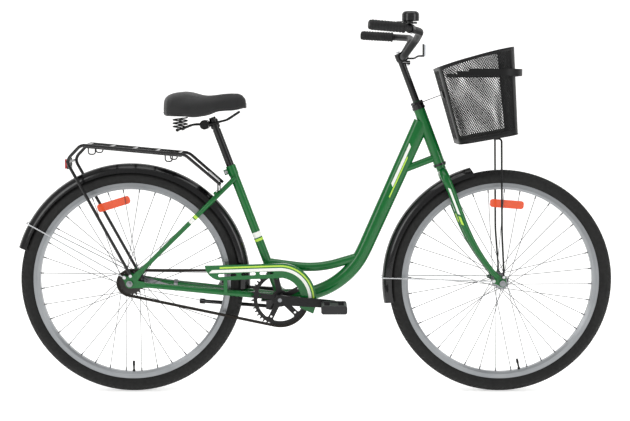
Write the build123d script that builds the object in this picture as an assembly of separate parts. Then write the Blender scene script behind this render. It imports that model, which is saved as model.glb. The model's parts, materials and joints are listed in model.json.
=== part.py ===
from build123d import *
import os
from math import acos, atan2, cos, degrees, hypot, radians, sin, pi

# City bicycle with a step-through frame, basket, rear rack and kickstand. Millimetres.
# While it is built, X is forward from the rear axle, Y is to the rider's left and Z is up
# from the ground. Each piece is moved back by half the length when it is written, so that
# the stored origin is under the middle of the whole bicycle.

# ---- wheels
wheel_base = 1178.0
wheel_r = 357.0
tyre_w = 47.0
tyre_wall = 3.6
rim_edge_r = 319.0
rim_inner_r = 295.0
rim_w = 25.6
rim_wall = 2.2
spoke_r = 0.95
spoke_pairs = 9
nipple_r = 1.9
nipple_len = 10.0
axle_r = 4.95
axle_end_r = 4.6
bearing_gap = 0.05
front_flange_r = 19.0
front_flange_y = 33.0
rear_flange_r = 29.5
rear_flange_y = 28.0
reflector_len = 108.0
reflector_h = 26.0
reflector_t = 5.0

# ---- frame
bb_x = 474.5
bb_z = 307.5
bb_shell_r = 20.0
bb_shell_w = 68.0
seat_angle = 69.3
seat_tube_len = 449.0
seat_tube_r = 14.3
post_r = 12.7
post_gap = 0.05
head_angle = 69.1
head_tube_len = 184.0
head_tube_r = 18.0
head_bore_r = 16.0
down_top_x = 927.0
down_bend_x = 676.0
down_bend_r = 254.0
mid_tube_r = 14.3
strut_r = 11.3
stay_r = 8.0
rear_spacing = 114.0
dropout_t = 5.0

# ---- steering
fork_rake = 50.0
crown_height = 413.0
steerer_r = 12.7
quill_r = 11.1
headset_h = 10.4
cup_r = 21.0
front_spacing = 100.0
blade_y = 42.0
bar_r = 11.1
bar_clamp_reach = 10.0
grip_r = 15.5
grip_len = 109.0

# ---- drivetrain
chain_y = 45.0
pitch = 12.7
roller_r = 3.9
ring_teeth = 44
sprocket_teeth = 20
crank_len = 170.0
crank_drop_angle = 4.5
crank_t = 13.0
crank_inner_y = 72.0
pedal_w = 96.0
pedal_l = 80.0
pedal_h = 26.0

# ---- equipment
fender_r = 378.0
fender_half_w = 29.5
fender_t = 1.2
stay_wire_r = 2.0
rack_tube_r = 5.0
rack_half_w = 66.0
guard_y = 60.0
guard_t = 2.0
guard_outer_r = 114.5
guard_inner_r = 67.0
basket_wall = 2.0
basket_rim_len = 242.0
basket_rim_w = 300.0
basket_rim_corner_r = 70.0
basket_floor_len = 186.0
basket_floor_w = 220.0
basket_floor_corner_r = 45.0
basket_rim_slope = 15.7
basket_floor_slope = 10.1
handle_gap = 3.0
strap_t = 1.9
bell_r = 25.5
stand_leg_r = 6.0
stand_leg_len = 236.0
saddle_w = 214.0

# ---- worked out from the sizes above
ring_r = pitch / 2 / sin(pi / ring_teeth)
sprocket_r = pitch / 2 / sin(pi / sprocket_teeth)
REAR = Vector(0, 0, wheel_r)
FRONT = Vector(wheel_base, 0, wheel_r)
BB = Vector(bb_x, 0, bb_z)
SEAT_UP = Vector(-cos(radians(seat_angle)), 0, sin(radians(seat_angle)))
SEAT_AHEAD = Vector(SEAT_UP.Z, 0, -SEAT_UP.X)
STEER_UP = Vector(-cos(radians(head_angle)), 0, sin(radians(head_angle)))
STEER_AHEAD = Vector(STEER_UP.Z, 0, -STEER_UP.X)
STEER_FOOT = FRONT - STEER_AHEAD * fork_rake
SIDE = Vector(0, 1, 0)
head_low = crown_height + headset_h
head_high = head_low + head_tube_len
strap_height = head_high + 16
drop_y = rear_spacing / 2
fork_drop_y = front_spacing / 2
rear_tip_angle = 163.0
rear_end_x = fender_r * cos(radians(rear_tip_angle))
x_middle = (wheel_base + wheel_r + rear_end_x) / 2


def steer(ahead, up, side=0.0):
    """A point beside the steering axis: ahead of it, up it from the axle's foot, and to the left."""
    return STEER_FOOT + STEER_AHEAD * ahead + STEER_UP * up + SIDE * side


def seat(ahead, up, side=0.0):
    """A point beside the seat tube: ahead of its axis, up it from the bottom bracket, and to the left."""
    return BB + SEAT_AHEAD * ahead + SEAT_UP * up + SIDE * side


def around(centre, radius, angle, side=0.0):
    """A point on a circle about an axle, by its angle above the forward direction."""
    return centre + Vector(radius * cos(radians(angle)), side, radius * sin(radians(angle)))


def rod(start, end, radius):
    """A round bar between two points."""
    span = Vector(end) - Vector(start)
    return Solid.make_cylinder(radius, span.length, Plane(origin=start, z_dir=span))


def pipe(start, end, outer, inner):
    """A straight tube between two points."""
    return rod(start, end, outer) - rod(start, end, inner)


def cross_rod(x, z, y_from, y_to, radius):
    """A round bar across the bicycle."""
    return rod((x, y_from, z), (x, y_to, z), radius)


def bent_bar(points, bend, radius):
    """A round bar along straight runs joined by arcs."""
    path = FilletPolyline(*[Vector(p) for p in points], radius=bend)
    return sweep(Plane(origin=path @ 0, z_dir=path % 0) * Circle(radius), path=path)


def oval_loft(path, start_half, end_half, stations):
    """A bar along a path whose oval section goes evenly from one size to another.

    Each size is half the oval's width sideways, then half its depth."""
    wires = []
    for k in range(stations + 1):
        t = k / stations
        along = path % t
        across = SIDE - along * along.dot(SIDE)
        half = [a + (b - a) * t for a, b in zip(start_half, end_half)]
        plane = Plane(origin=path @ t, x_dir=across.normalized(), z_dir=along)
        wires.append(Wire.make_ellipse(half[0], half[1] + 1e-3, plane))
    return Solid.make_loft(wires)


def turned(profile):
    """A solid turned about the cross axis from (radius, side) corners."""
    return revolve(make_face(Polyline(*profile, close=True).edges()), Axis.Y, 360)


def plate(outline, y_from, thickness):
    """A flat plate from an outline in (forward, up), between y_from and y_from + thickness."""
    return extrude(Plane.XZ.offset(-y_from) * outline, -thickness)


def link_outline(start, end, start_r, end_r):
    """The outline of two discs joined by their outer tangents, each centre in (forward, up)."""
    discs = Pos(*start) * Circle(start_r), Pos(*end) * Circle(end_r)
    return make_hull([edge for disc in discs for edge in disc.edges()])


def hexagon(across_flats, hole_r):
    """A nut's outline with its hole."""
    return RegularPolygon(across_flats / 2, 6, major_radius=False) - Circle(hole_r)


def both_sides(shape):
    """The shape and its mirror image on the other side of the bicycle."""
    return [shape, mirror(shape, Plane.XZ)]


def flat(v):
    """A point's forward and up values."""
    return v.X, v.Z


def save(name, *shapes):
    """Writes one node, with its solids kept apart, in the stored frame."""
    solids = [s for shape in shapes for s in shape.solids()]
    moved = [Pos(-x_middle, 0, 0) * s for s in solids]
    export_step(Compound(moved) if len(moved) > 1 else moved[0], f"parts/{name}.step")


# ---------------------------------------------------------------- wheels


def tyre():
    """A tyre, open towards the rim, with its inner tube and valve."""
    middle = wheel_r - tyre_w / 2
    side = tyre_w / 2
    lip = rim_w / 2
    slot = lip - rim_wall - 0.1
    inside = side - tyre_wall
    bead_r = rim_edge_r - 12
    halves = []
    for s in (1, -1):
        halves.append((
            ThreePointArc((rim_edge_r, s * lip), (rim_edge_r + 6, s * 20.2), (middle, s * side)),
            Polyline((rim_edge_r, s * lip), (rim_edge_r, s * slot), (bead_r, s * slot),
                     (bead_r, s * (slot - 3)), (rim_edge_r + 1, s * (slot - 3))),
            ThreePointArc((rim_edge_r + 1, s * (slot - 3)), (rim_edge_r + 6.5, s * 15.4),
                          (middle, s * inside)),
        ))
    tread = ThreePointArc((middle, side), (wheel_r, 0), (middle, -side))
    lining = ThreePointArc((middle, inside), (wheel_r - tyre_wall, 0), (middle, -inside))
    edges = [e for half in halves for part in half for e in part.edges()]
    casing = revolve(make_face(edges + tread.edges() + lining.edges()), Axis.Y, 360)
    return casing


def inner_tube(valve_angle):
    """The inner tube, hollow, with its valve stem through the rim."""
    middle = wheel_r - tyre_w / 2
    ring = Rot(90, 0, 0) * (Torus(middle, 15.6) - Torus(middle, 14.4))
    stem = rod((middle - 15, 0, 0), (rim_inner_r - 38, 0, 0), 3.0)
    bore = rod((middle - 10, 0, 0), (rim_inner_r - 40, 0, 0), 1.2)
    return Rot(0, -valve_angle, 0) * (ring + stem - bore)


def rim(valve_angle):
    """A single-wall rim with a channel for the tyre beads and a hole for the valve."""
    half = rim_w / 2
    edge = rim_edge_r
    low = rim_inner_r
    deep = low + 2.4
    ring = turned([
        (edge, half), (low + 7, half), (low, 8), (low, -8), (low + 7, -half), (edge, -half),
        (edge, rim_wall - half), (low + 8, rim_wall - half), (deep, -6.8),
        (deep, 6.8), (low + 8, half - rim_wall), (edge, half - rim_wall),
    ])
    hole = Rot(0, -valve_angle, 0) * rod((low - 5, 0, 0), (low + 12, 0, 0), 3.3)
    return ring - hole


def spoke(start, end, flange_y):
    """One spoke with its nipple, and its bent head through the hub flange."""
    span = (end - start).normalized()
    wire = rod(start, end - span * nipple_len, spoke_r)
    nipple = rod(end - span * nipple_len, end, nipple_r)
    past = 2.2 if flange_y > start.Y else -2.2
    head = rod((start.X, start.Y, start.Z), (start.X, flange_y + past, start.Z), spoke_r)
    return wire + head + nipple + Pos(start.X, start.Y, start.Z) * Sphere(spoke_r)


def spokes(flange_r, flange_y):
    """36 spokes, crossed three times, leading and trailing ones on either face of each flange."""
    step = 360 / spoke_pairs
    made = []
    for side in (1, -1):
        shift = 0 if side < 0 else step / 4
        for k in range(spoke_pairs):
            for lead in (1, -1):
                hub_angle = step * k + shift + (0 if lead > 0 else step / 2)
                rim_angle = hub_angle + lead * 60
                hub_y = side * (flange_y + (3.8 if lead > 0 else -2.4))
                rim_y = side * (3.4 + lead * 0.8)
                start = around(Vector(0, 0, 0), flange_r, hub_angle, hub_y)
                end = around(Vector(0, 0, 0), rim_inner_r - 0.5, rim_angle, rim_y)
                made.append(spoke(start, end, side * flange_y))
    return made


def hub(flange_r, flange_y, barrel_r, left_end, right_end, end_r):
    """A hub shell with two drilled flanges, bored for its axle."""
    bore = axle_r + bearing_gap
    rim_of_flange = flange_r + 4.5
    t = 1.4
    body = turned([
        (bore, right_end), (end_r, right_end), (end_r + 1, -flange_y - t - 2),
        (rim_of_flange, -flange_y - t), (rim_of_flange, -flange_y + t),
        (barrel_r + 3, -flange_y + t), (barrel_r, -flange_y + 12), (barrel_r, flange_y - 12),
        (barrel_r + 3, flange_y - t), (rim_of_flange, flange_y - t),
        (rim_of_flange, flange_y + t), (end_r + 1, flange_y + t + 2),
        (end_r, left_end), (bore, left_end),
    ])
    step = 180 / spoke_pairs
    for side in (1, -1):
        shift = 0 if side < 0 else step / 2
        for k in range(2 * spoke_pairs):
            hole = around(Vector(0, 0, 0), flange_r, step * k + shift)
            body -= cross_rod(hole.X, hole.Z, side * (flange_y - 6), side * (flange_y + 6),
                              spoke_r + 0.15)
    return body


def axle(half_len, spacing, cones, nut_t):
    """A threaded axle with its cones and the two nuts outside the dropouts.

    cones are (from, to) stretches across, each a thicker collar on the axle."""
    outside = spacing / 2 + dropout_t + 0.05
    bar = cross_rod(0, 0, -half_len, half_len, axle_end_r)
    bar += cross_rod(0, 0, -outside - nut_t - 0.9, outside + nut_t + 0.9, axle_r)
    for low, high in cones:
        bar += cross_rod(0, 0, low, high, 9.0)
    nut = plate(hexagon(15.0, axle_r + 0.02), outside, nut_t)
    washer = plate(Circle(10) - Circle(axle_r + 0.02), outside + nut_t, 0.8)
    return [bar, *both_sides(nut + washer)]


def wheel_reflector(angle, radius, tilt):
    """A spoke reflector: a thin rounded bar between the two sets of spokes."""
    outline = RectangleRounded(reflector_len, reflector_h, 9)
    bar = plate(outline, -reflector_t / 2, reflector_t)
    centre = around(Vector(0, 0, 0), radius, angle)
    return Pos(centre.X, 0, centre.Z) * Rot(0, 90 - angle + tilt, 0) * bar


def save_wheel(name, centre, flange, barrel, ends, valve_angle, reflector):
    """Writes the nodes of one wheel, with the valve midway between two spokes."""
    place = Pos(centre.X, 0, centre.Z)
    laced = place * Rot(0, -(valve_angle + 90 / spoke_pairs / 2), 0)
    save(f"{name}_tyre", place * tyre(), place * inner_tube(valve_angle))
    save(f"{name}_rim", place * rim(valve_angle))
    save(f"{name}_spokes", *[laced * s for s in spokes(*flange)])
    save(f"{name}_hub", laced * hub(*flange, *barrel, *ends))
    save(f"{name}_spoke_reflector", place * wheel_reflector(*reflector))


# ---------------------------------------------------------------- frame tubes


def down_tube_path():
    """The down tube's centre line: straight from the head, then one long bend to level."""
    level = bb_z + 2
    slope = radians(66)
    top_z = level + (down_top_x - down_bend_x) * sin(slope) / cos(slope)
    top = Vector(down_top_x, 0, top_z) - Vector(cos(slope), 0, sin(slope)) * 9
    return FilletPolyline(top, (down_bend_x, 0, level), (bb_x + 2, 0, level), radius=down_bend_r)


def down_tube_bar(less=0.0):
    """The down tube as a bar, oval at the head and round at the bottom bracket."""
    return oval_loft(down_tube_path(), (16.6 - less, 26 - less), (21.5 - less, 21.5 - less), 16)


def mid_tube_bar(less=0.0):
    """The lower step-through tube as a bar."""
    start = seat(0, (417 - bb_z) / SEAT_UP.Z)
    points = [start, (591, 0, 395.6), (722, 0, 434)]
    return bent_bar(points, 320, mid_tube_r - less)


def strut_ends():
    """The ends of the short strut between the down tube and the head tube."""
    return Vector(868, 0, 714.7), Vector(972, 0, 754.8)


def chainstay_bar(side):
    """A chainstay: close beside the bottom bracket, then spreading to clear the tyre."""
    slope = (wheel_r - bb_z) / bb_x
    spread = [(456, 18), (420, 23.5), (385, 28.3), (325, 36.3), (210, 46), (100, 54), (50, 58.5)]
    points = [Vector(x, side * y, wheel_r - slope * x) for x, y in spread]
    return oval_loft(Spline(*points), (10, 11), (7.5, 8), 14)


def seatstay_bar(side):
    """A seatstay: out of the side of the seat tube, round the fender, and down to the dropout."""
    top, low = seat(0, seat_tube_len - 42.4), Vector(34, 0, 395)
    run = (low - top).normalized()
    length = (low - top).length
    spread = [(0, 11), (30, 21), (85, 40), (150, 44.5), (length * 0.7, 52), (length, 59)]
    points = [top + run * d + SIDE * side * y for d, y in spread]
    return oval_loft(Spline(*points), (stay_r, stay_r), (stay_r - 1, stay_r - 1), 14)


def dropout(side):
    """A rear dropout plate with its axle hole, stay tabs and two eyelets."""
    hub_at = flat(REAR)
    outline = link_outline(hub_at, (54, 351.5), 15, 8)
    outline += link_outline(hub_at, (38, 399), 15, 8)
    outline += link_outline(hub_at, (4.5, 383), 15, 8)
    outline += link_outline(hub_at, (-16.5, 376.8), 13, 7)
    outline -= Pos(*hub_at) * Circle(axle_r + 0.02)
    outline -= Pos(4.5, 383) * Circle(2.6)
    outline -= Pos(-16.5, 376.8) * Circle(2.6)
    low = drop_y if side > 0 else -drop_y - dropout_t
    return plate(outline, low, dropout_t)


def bb_shell():
    """The bottom bracket shell, a short cross tube."""
    half = bb_shell_w / 2
    return cross_rod(bb_x, bb_z, -half, half, bb_shell_r) - cross_rod(bb_x, bb_z, -half, half, 17.2)


def bb_cup(side):
    """A bearing cup screwed into the shell, with its spindle hole."""
    half = bb_shell_w / 2
    cup = cross_rod(bb_x, bb_z, side * 18, side * half, 17.15)
    flange = cross_rod(bb_x, bb_z, side * half, side * (half + 4), 19)
    return cup + flange - cross_rod(bb_x, bb_z, side * 16, side * (half + 5), 8.5 + bearing_gap)


def seat_tube():
    """The seat tube, slit at its back and with two binder ears at the top."""
    top = seat_tube_len
    tube = pipe(seat(0, 0), seat(0, top), seat_tube_r, post_r + post_gap)
    collar = pipe(seat(0, top - 32), seat(0, top), seat_tube_r + 1.6, seat_tube_r)
    ear = Plane(origin=seat(-19, top - 15), x_dir=SEAT_AHEAD, z_dir=SEAT_UP) * Box(15, 16, 17)
    slit = Plane(origin=seat(-19, top - 18), x_dir=SEAT_AHEAD, z_dir=SEAT_UP) * Box(30, 2, 38)
    lug = tube + collar + ear
    lug -= rod(seat(0, 0), seat(0, top + 1), post_r + post_gap)
    lug -= slit
    lug -= rod(seat(-20, top - 15, -12), seat(-20, top - 15, 12), 3.1)
    return lug - cross_rod(bb_x, bb_z, -40, 40, bb_shell_r)


def save_frame():
    """Writes the tubes of the frame, each cut to the ones that it meets."""
    steer_bar = rod(steer(0, head_low), steer(0, head_high), head_tube_r)
    shell_bar = cross_rod(bb_x, bb_z, -40, 40, bb_shell_r)
    seat_bar = rod(seat(0, 0), seat(0, seat_tube_len), seat_tube_r)
    down_bar = down_tube_bar()
    mid_bar = mid_tube_bar()
    bridge = cross_rod(390, 317.5, -26, 26, 6)
    high = around(REAR, 392, 46.5)
    high_bridge = cross_rod(high.X, high.Z, -40, 40, 5.5)
    stays = [chainstay_bar(1), chainstay_bar(-1)]
    high_stays = [seatstay_bar(1), seatstay_bar(-1)]
    ends = [dropout(1), dropout(-1)]
    save("head_tube", pipe(steer(0, head_low), steer(0, head_high), head_tube_r, head_bore_r))
    save("down_tube", down_bar - down_tube_bar(1.8) - steer_bar - shell_bar)
    strut = rod(*strut_ends(), strut_r) - rod(*strut_ends(), strut_r - 1.4)
    save("step_tubes", mid_bar - mid_tube_bar(1.4) - seat_bar - down_bar,
         strut - steer_bar - down_bar)
    save("seat_tube", seat_tube() - down_bar)
    save("bottom_bracket_shell", bb_shell())
    save("chainstays", *[s - shell_bar - e - seat_bar - down_bar for s, e in zip(stays, ends)])
    save("seatstays", *[s - seat_bar - e for s, e in zip(high_stays, ends)])
    save("rear_dropouts", *ends)
    save("stay_bridges", bridge - stays[0] - stays[1],
         high_bridge - high_stays[0] - high_stays[1])
    cup = pipe(steer(0, head_high), steer(0, head_high + 6.6), cup_r, 13.6)
    skirt = pipe(steer(0, head_high - 10), steer(0, head_high), head_bore_r - 0.02, 13.6)
    low_cup = pipe(steer(0, head_low - 6.6), steer(0, head_low), cup_r, 13.6)
    low_skirt = pipe(steer(0, head_low), steer(0, head_low + 10), head_bore_r - 0.02, 13.6)
    save("bearing_cups", cup + skirt, low_cup + low_skirt, bb_cup(1), bb_cup(-1))


# ---------------------------------------------------------------- steering


def blade_path(side):
    """A fork blade's centre line: out of the crown, straight down, then curving forward."""
    swell = [
        (0, crown_height - 17, 0), (0, crown_height - 17.6, 14), (0, crown_height - 24, 29),
        (0, crown_height - 42, 39), (1, crown_height - 66, blade_y), (2, 250, 45), (7, 160, 48),
        (20, 90, 51), (43, 20, 54),
    ]
    points = [steer(ahead, up, side * y) for ahead, up, y in swell]
    return Spline(*points)


def fork_blade(side):
    """A tapered fork blade with its dropout plate and eyelet tabs."""
    blade = oval_loft(blade_path(side), (11, 14.5), (6.5, 8), 18)
    tip = flat(FRONT)
    ear = flat(steer(38, 34))
    outline = link_outline(tip, ear, 13, 9)
    outline += link_outline(tip, (tip[0] + 3, tip[1] + 20.5), 13, 6.5)
    outline += link_outline(tip, (tip[0] - 28, tip[1] + 7), 11, 6)
    outline -= Pos(*tip) * Circle(axle_r + 0.02)
    outline -= Pos(tip[0] + 3, tip[1] + 20.5) * Circle(2.6)
    outline -= Pos(tip[0] - 28, tip[1] + 7) * Circle(2.6)
    low = fork_drop_y if side > 0 else -fork_drop_y - dropout_t
    middle = blade - rod(steer(0, crown_height - 60), steer(0, crown_height), 15)
    inner = Pos(tip[0], 0, tip[1]) * cross_rod(0, 0, -fork_drop_y, fork_drop_y, 70)
    return middle - inner + plate(outline, low, dropout_t)


def fork_crown():
    """The steerer tube on its crown sleeve, with the lower bearing seat."""
    low = crown_height - 33
    sleeve = rod(steer(0, low), steer(0, crown_height), 15)
    seat_ring = pipe(steer(0, crown_height), steer(0, crown_height + 3.5), 19.5, steerer_r - 0.5)
    tube = rod(steer(0, crown_height), steer(0, head_high + 26), steerer_r)
    bore = rod(steer(0, low - 1), steer(0, head_high + 40), quill_r + bearing_gap)
    return sleeve + seat_ring + tube - bore


def headset_nuts():
    """The top race and the lock nut on the steerer, with room for the basket's strap between them."""
    race = pipe(steer(0, head_high + 6.9), steer(0, strap_height - 0.05), 19.5, steerer_r + 0.02)
    collar = Plane(origin=steer(0, strap_height + strap_t + 0.05), z_dir=STEER_UP)
    nut = extrude(collar * (RegularPolygon(17, 6, major_radius=False) - Circle(steerer_r + 0.02)), 7)
    return [race, nut]


BAR_MIDDLE = steer(0, head_high + 175) + Vector(bar_clamp_reach, 0, 0)


def stem():
    """The quill stem: a hollow shaft, a bend, and the clamp barrel for the handlebar."""
    top = steer(0, head_high + 168)
    shaft = rod(steer(0, head_high - 62), top, quill_r)
    knob = rod(top, steer(0, head_high + 186), 14.5) + Pos(*top) * Sphere(14.5)
    barrel = cross_rod(BAR_MIDDLE.X, BAR_MIDDLE.Z, -22, 22, 16.5)
    pinch = Pos(BAR_MIDDLE.X + 11, 0, BAR_MIDDLE.Z - 17) * Box(24, 22, 11)
    bore = rod(steer(0, head_high - 70), steer(0, head_high + 200), 4.2)
    head = shaft + knob + barrel + pinch - bore
    head -= Pos(BAR_MIDDLE.X + 14, 0, BAR_MIDDLE.Z - 17) * Box(30, 50, 0.8)
    return head - cross_rod(BAR_MIDDLE.X, BAR_MIDDLE.Z, -30, 30, bar_r)


def clamp_bar():
    """The stem's clamp barrel as a solid bar."""
    return cross_rod(BAR_MIDDLE.X, BAR_MIDDLE.Z, -22, 22, 16.5)


def stem_bolts():
    """The long expander bolt with its wedge, and the clamp bolt."""
    top = steer(0, head_high + 186)
    base = steer(0, head_high - 86)
    bolt = rod(base, top, 3.6) + rod(top, top + STEER_UP * 7, 6.5)
    wedge = rod(base, steer(0, head_high - 63), quill_r - 0.1)
    pinch_at = BAR_MIDDLE + Vector(17.5, 0, -22.5)
    pinch = rod(pinch_at, pinch_at - Vector(0, 0, 4.5), 4.4)
    return [(bolt + wedge) - clamp_bar(), pinch]


def bar_points():
    """The handlebar's corners on the left side, from its middle to the end of the grip."""
    base = BAR_MIDDLE
    return [
        base,
        base + Vector(0, 45, 0),
        base + Vector(33, 122, 50),
        base + Vector(38, 190, 68),
        base + Vector(-5, 266, 75),
        base + Vector(-118, 296, 83),
    ]


def bar_side(radius):
    """Half of the handlebar, from its middle to one end."""
    return bent_bar(bar_points(), [36, 60, 44, 22], radius)


def handlebar():
    """The handlebar, a bent tube from grip to grip."""
    half = bar_side(bar_r) - bar_side(bar_r - 1.6)
    return half + mirror(half, Plane.XZ)


def grip():
    """A rubber grip with rings round it and a closed, rounded end."""
    points = bar_points()
    end = points[-1]
    plane = Plane(origin=end - (points[-2] - end).normalized() * 3, z_dir=points[-2] - end)
    sleeve = Cylinder(grip_r - 1.2, grip_len, align=(Align.CENTER, Align.CENTER, Align.MIN))
    ring = Cylinder(grip_r, 5, align=(Align.CENTER, Align.CENTER, Align.MIN))
    rings = int((grip_len - 14) / 9.4)
    for k in range(rings):
        sleeve += Pos(0, 0, 9 + 9.4 * k) * ring
    sleeve += Pos(0, 0, grip_len - 4) * Cylinder(grip_r + 0.6, 4, align=(Align.CENTER, Align.CENTER, Align.MIN))
    sleeve = fillet(sleeve.edges().sort_by(Axis.Z)[0], 4)
    return plane * sleeve - bar_side(bar_r)


bell_up = Vector(0, 0, 1)
BELL = BAR_MIDDLE + Vector(3.6, -250.8, 73.6)


def bell():
    """The bell: a clamp round the handlebar with its base and post, and the dome over it."""
    foot = BELL + bell_up * (bar_r + 3)
    along = Vector(-0.49, -0.87, 0.08) * 8
    clamp = rod(BELL - along, BELL + along, bar_r + 2.6)
    base = Pos(*foot) * Cylinder(20, 5, align=(Align.CENTER, Align.CENTER, Align.MIN))
    post = Pos(*foot) * Cylinder(3, 38, align=(Align.CENTER, Align.CENTER, Align.MIN))
    body = clamp + base + post - bar_side_right(bar_r)
    drum = Cylinder(bell_r, 28, align=(Align.CENTER, Align.CENTER, Align.MIN))
    drum = fillet(drum.edges().sort_by(Axis.Z)[-1], 11)
    room = Cylinder(bell_r - 1.2, 26.8, align=(Align.CENTER, Align.CENTER, Align.MIN))
    room = fillet(room.edges().sort_by(Axis.Z)[-1], 9.8)
    dome = Pos(foot.X, foot.Y, foot.Z + 9) * (drum - room)
    return [body, dome - Pos(*foot) * Cylinder(3.02, 90)]


def bar_side_right(radius):
    """The right half of the handlebar as a bar."""
    return mirror(bar_side(radius), Plane.XZ)


def bell_lever():
    """The bell's thumb lever, turning on the post between the base and the dome."""
    foot = BELL + bell_up * (bar_r + 3 + 5.3)
    outline = link_outline((0, 0), (-36, 6), 7, 5.5) - Circle(3.05)
    return Pos(*foot) * extrude(outline, 2.4)


def front_reflector():
    """The front reflector's bracket and housing, with its lens."""
    grip_at = BAR_MIDDLE + Vector(0, 30, 0)
    ring = cross_rod(grip_at.X, grip_at.Z, 23, 33, bar_r + 2.5)
    ring -= cross_rod(grip_at.X, grip_at.Z, 20, 36, bar_r)
    arm = bent_bar([
        (grip_at.X + 13, 29, grip_at.Z - 4), (grip_at.X + 38, 18, grip_at.Z - 4),
        (grip_at.X + 48, 0, grip_at.Z + 3), (grip_at.X + 60, 0, grip_at.Z + 3),
    ], [12, 12], 3.2)
    back = Pos(grip_at.X + 61.5, 0, grip_at.Z + 19) * Box(5, 66, 40)
    lens = Pos(grip_at.X + 66.55, 0, grip_at.Z + 19) * Box(5, 62, 37)
    holder = ring + arm + back
    holder -= cross_rod(grip_at.X, grip_at.Z, -60, 36, bar_r)
    return [holder - cross_rod(grip_at.X, grip_at.Z, -23, 23, 17), lens]


FLOOR_MIDDLE = FRONT + Vector(-52, 0, 456.8)
RIM_MIDDLE = FRONT + Vector(-95.5, 0, 709.2)
FLOOR_AHEAD = Vector(cos(radians(basket_floor_slope)), 0, sin(radians(basket_floor_slope)))
RIM_AHEAD = Vector(cos(radians(basket_rim_slope)), 0, sin(radians(basket_rim_slope)))


def basket_block(wall):
    """The basket as a block, from its floor to its rim, drawn in by the wall on every side."""
    low = Plane(origin=FLOOR_MIDDLE, x_dir=FLOOR_AHEAD, z_dir=FLOOR_AHEAD.cross(SIDE)).offset(wall)
    high = Plane(origin=RIM_MIDDLE, x_dir=RIM_AHEAD, z_dir=RIM_AHEAD.cross(SIDE))
    floor = RectangleRounded(basket_floor_len - 2 * wall, basket_floor_w - 2 * wall, basket_floor_corner_r - wall)
    rim_edge = RectangleRounded(basket_rim_len - 2 * wall, basket_rim_w - 2 * wall, basket_rim_corner_r - wall)
    return loft([low * floor, high * rim_edge])


def basket():
    """The basket: four leaning sides and a floor, open at the top."""
    return basket_block(0) - basket_block(basket_wall)


def basket_strap():
    """The flat strap from under the headset's lock nut to a hook on the basket's back."""
    ring = pipe(steer(0, strap_height), steer(0, strap_height + strap_t), 18, steerer_r + 0.02)
    tab = Plane(origin=steer(12, strap_height + strap_t / 2), x_dir=STEER_AHEAD, z_dir=STEER_UP)
    rim_back = RIM_MIDDLE - RIM_AHEAD * (basket_rim_len / 2)
    down = (FLOOR_MIDDLE - FLOOR_AHEAD * (basket_floor_len / 2) - rim_back).normalized()
    hook_at = rim_back + down * 84 + SIDE.cross(down) * 2
    strap_from = steer(23, strap_height + strap_t / 2)
    ahead = hook_at - strap_from
    strip = Plane(origin=(strap_from + hook_at) / 2, x_dir=ahead, z_dir=ahead.cross(SIDE)) * Box(ahead.length, 26, 1.6)
    hook = Plane(origin=hook_at, x_dir=SIDE, z_dir=SIDE.cross(down)) * Box(60, 22, 4)
    steerer = rod(steer(0, strap_height - 1), steer(0, strap_height + 4), steerer_r + 0.02)
    return ring + tab * Box(24, 26, strap_t) + strip + hook - steerer


def basket_mounts():
    """The strap from the headset to the basket, and the two stays down to the fork ends."""
    under = FLOOR_AHEAD.cross(SIDE) * 4
    block = basket_block(0)
    made = [basket_strap() - block]
    for side in (1, -1):
        top = FLOOR_MIDDLE + Vector(40, side * 70, 6.2)
        low = FRONT + Vector(3, side * (fork_drop_y + dropout_t + 3.2), 20.5)
        bend = FRONT + Vector(-6, side * 70, 163)
        wire = bent_bar([top - Vector(24, 0, 3.4) - under, top - under, bend, low + Vector(0, 0, 24), low],
                        [10, 300, 30], 3.0)
        eye = cross_rod(low.X, low.Z, side * (fork_drop_y + dropout_t),
                        side * (fork_drop_y + dropout_t + 6), 6)
        hole = cross_rod(low.X, low.Z, side * fork_drop_y, side * (fork_drop_y + 20), 2.52)
        made.append(wire + eye - hole - block)
    return made


HANDLE_PIVOT = FRONT + Vector(-154, 0, 657.5)
handle_half = basket_rim_w / 2 + handle_gap
handle_reach = (RIM_MIDDLE + RIM_AHEAD * (basket_rim_len / 2) - HANDLE_PIVOT).length + handle_gap


def basket_handle():
    """The carry handle: a flat band folded forward round the outside of the basket."""
    outline = fillet(Rectangle(2 * handle_reach + 6, 2 * handle_half + 6).vertices(), 70)
    band = outline - offset(outline, -3)
    band &= Pos(300 - 8, 0) * Rectangle(600, 600)
    bar = Pos(HANDLE_PIVOT.X, 0, HANDLE_PIVOT.Z - 6) * extrude(band, 21)
    bar -= Pos(HANDLE_PIVOT.X, 0, HANDLE_PIVOT.Z + 16) * Box(56, 600, 20)
    return bar - cross_rod(HANDLE_PIVOT.X, HANDLE_PIVOT.Z, -handle_half - 10, handle_half + 10, 3.05)


def handle_pins():
    """The two rivets that the basket's handle turns on."""
    pins = []
    for side in (1, -1):
        inner = side * (handle_half - 28)
        pin = cross_rod(HANDLE_PIVOT.X, HANDLE_PIVOT.Z, inner, side * (handle_half + 5), 3.0)
        pin += cross_rod(HANDLE_PIVOT.X, HANDLE_PIVOT.Z, side * (handle_half + 3.5), side * (handle_half + 5.5), 5.5)
        pin += cross_rod(HANDLE_PIVOT.X, HANDLE_PIVOT.Z, inner, side * (handle_half - 0.5), 5)
        pins.append(pin - basket_block(0))
    return pins


# ---------------------------------------------------------------- fenders and their stays


def fender(centre, start, end, radius):
    """A fender: a half-round channel turned about the axle from one angle to another."""
    middle = radius - fender_half_w
    ring = Circle(fender_half_w) - Circle(fender_half_w - fender_t)
    channel = ring & Pos(fender_half_w, 0) * Rectangle(2 * fender_half_w, 3 * fender_half_w)
    face = Rot(0, -end, 0) * Pos(middle, 0) * channel
    return Pos(*centre) * revolve(face, Axis.Y, end - start)


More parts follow.
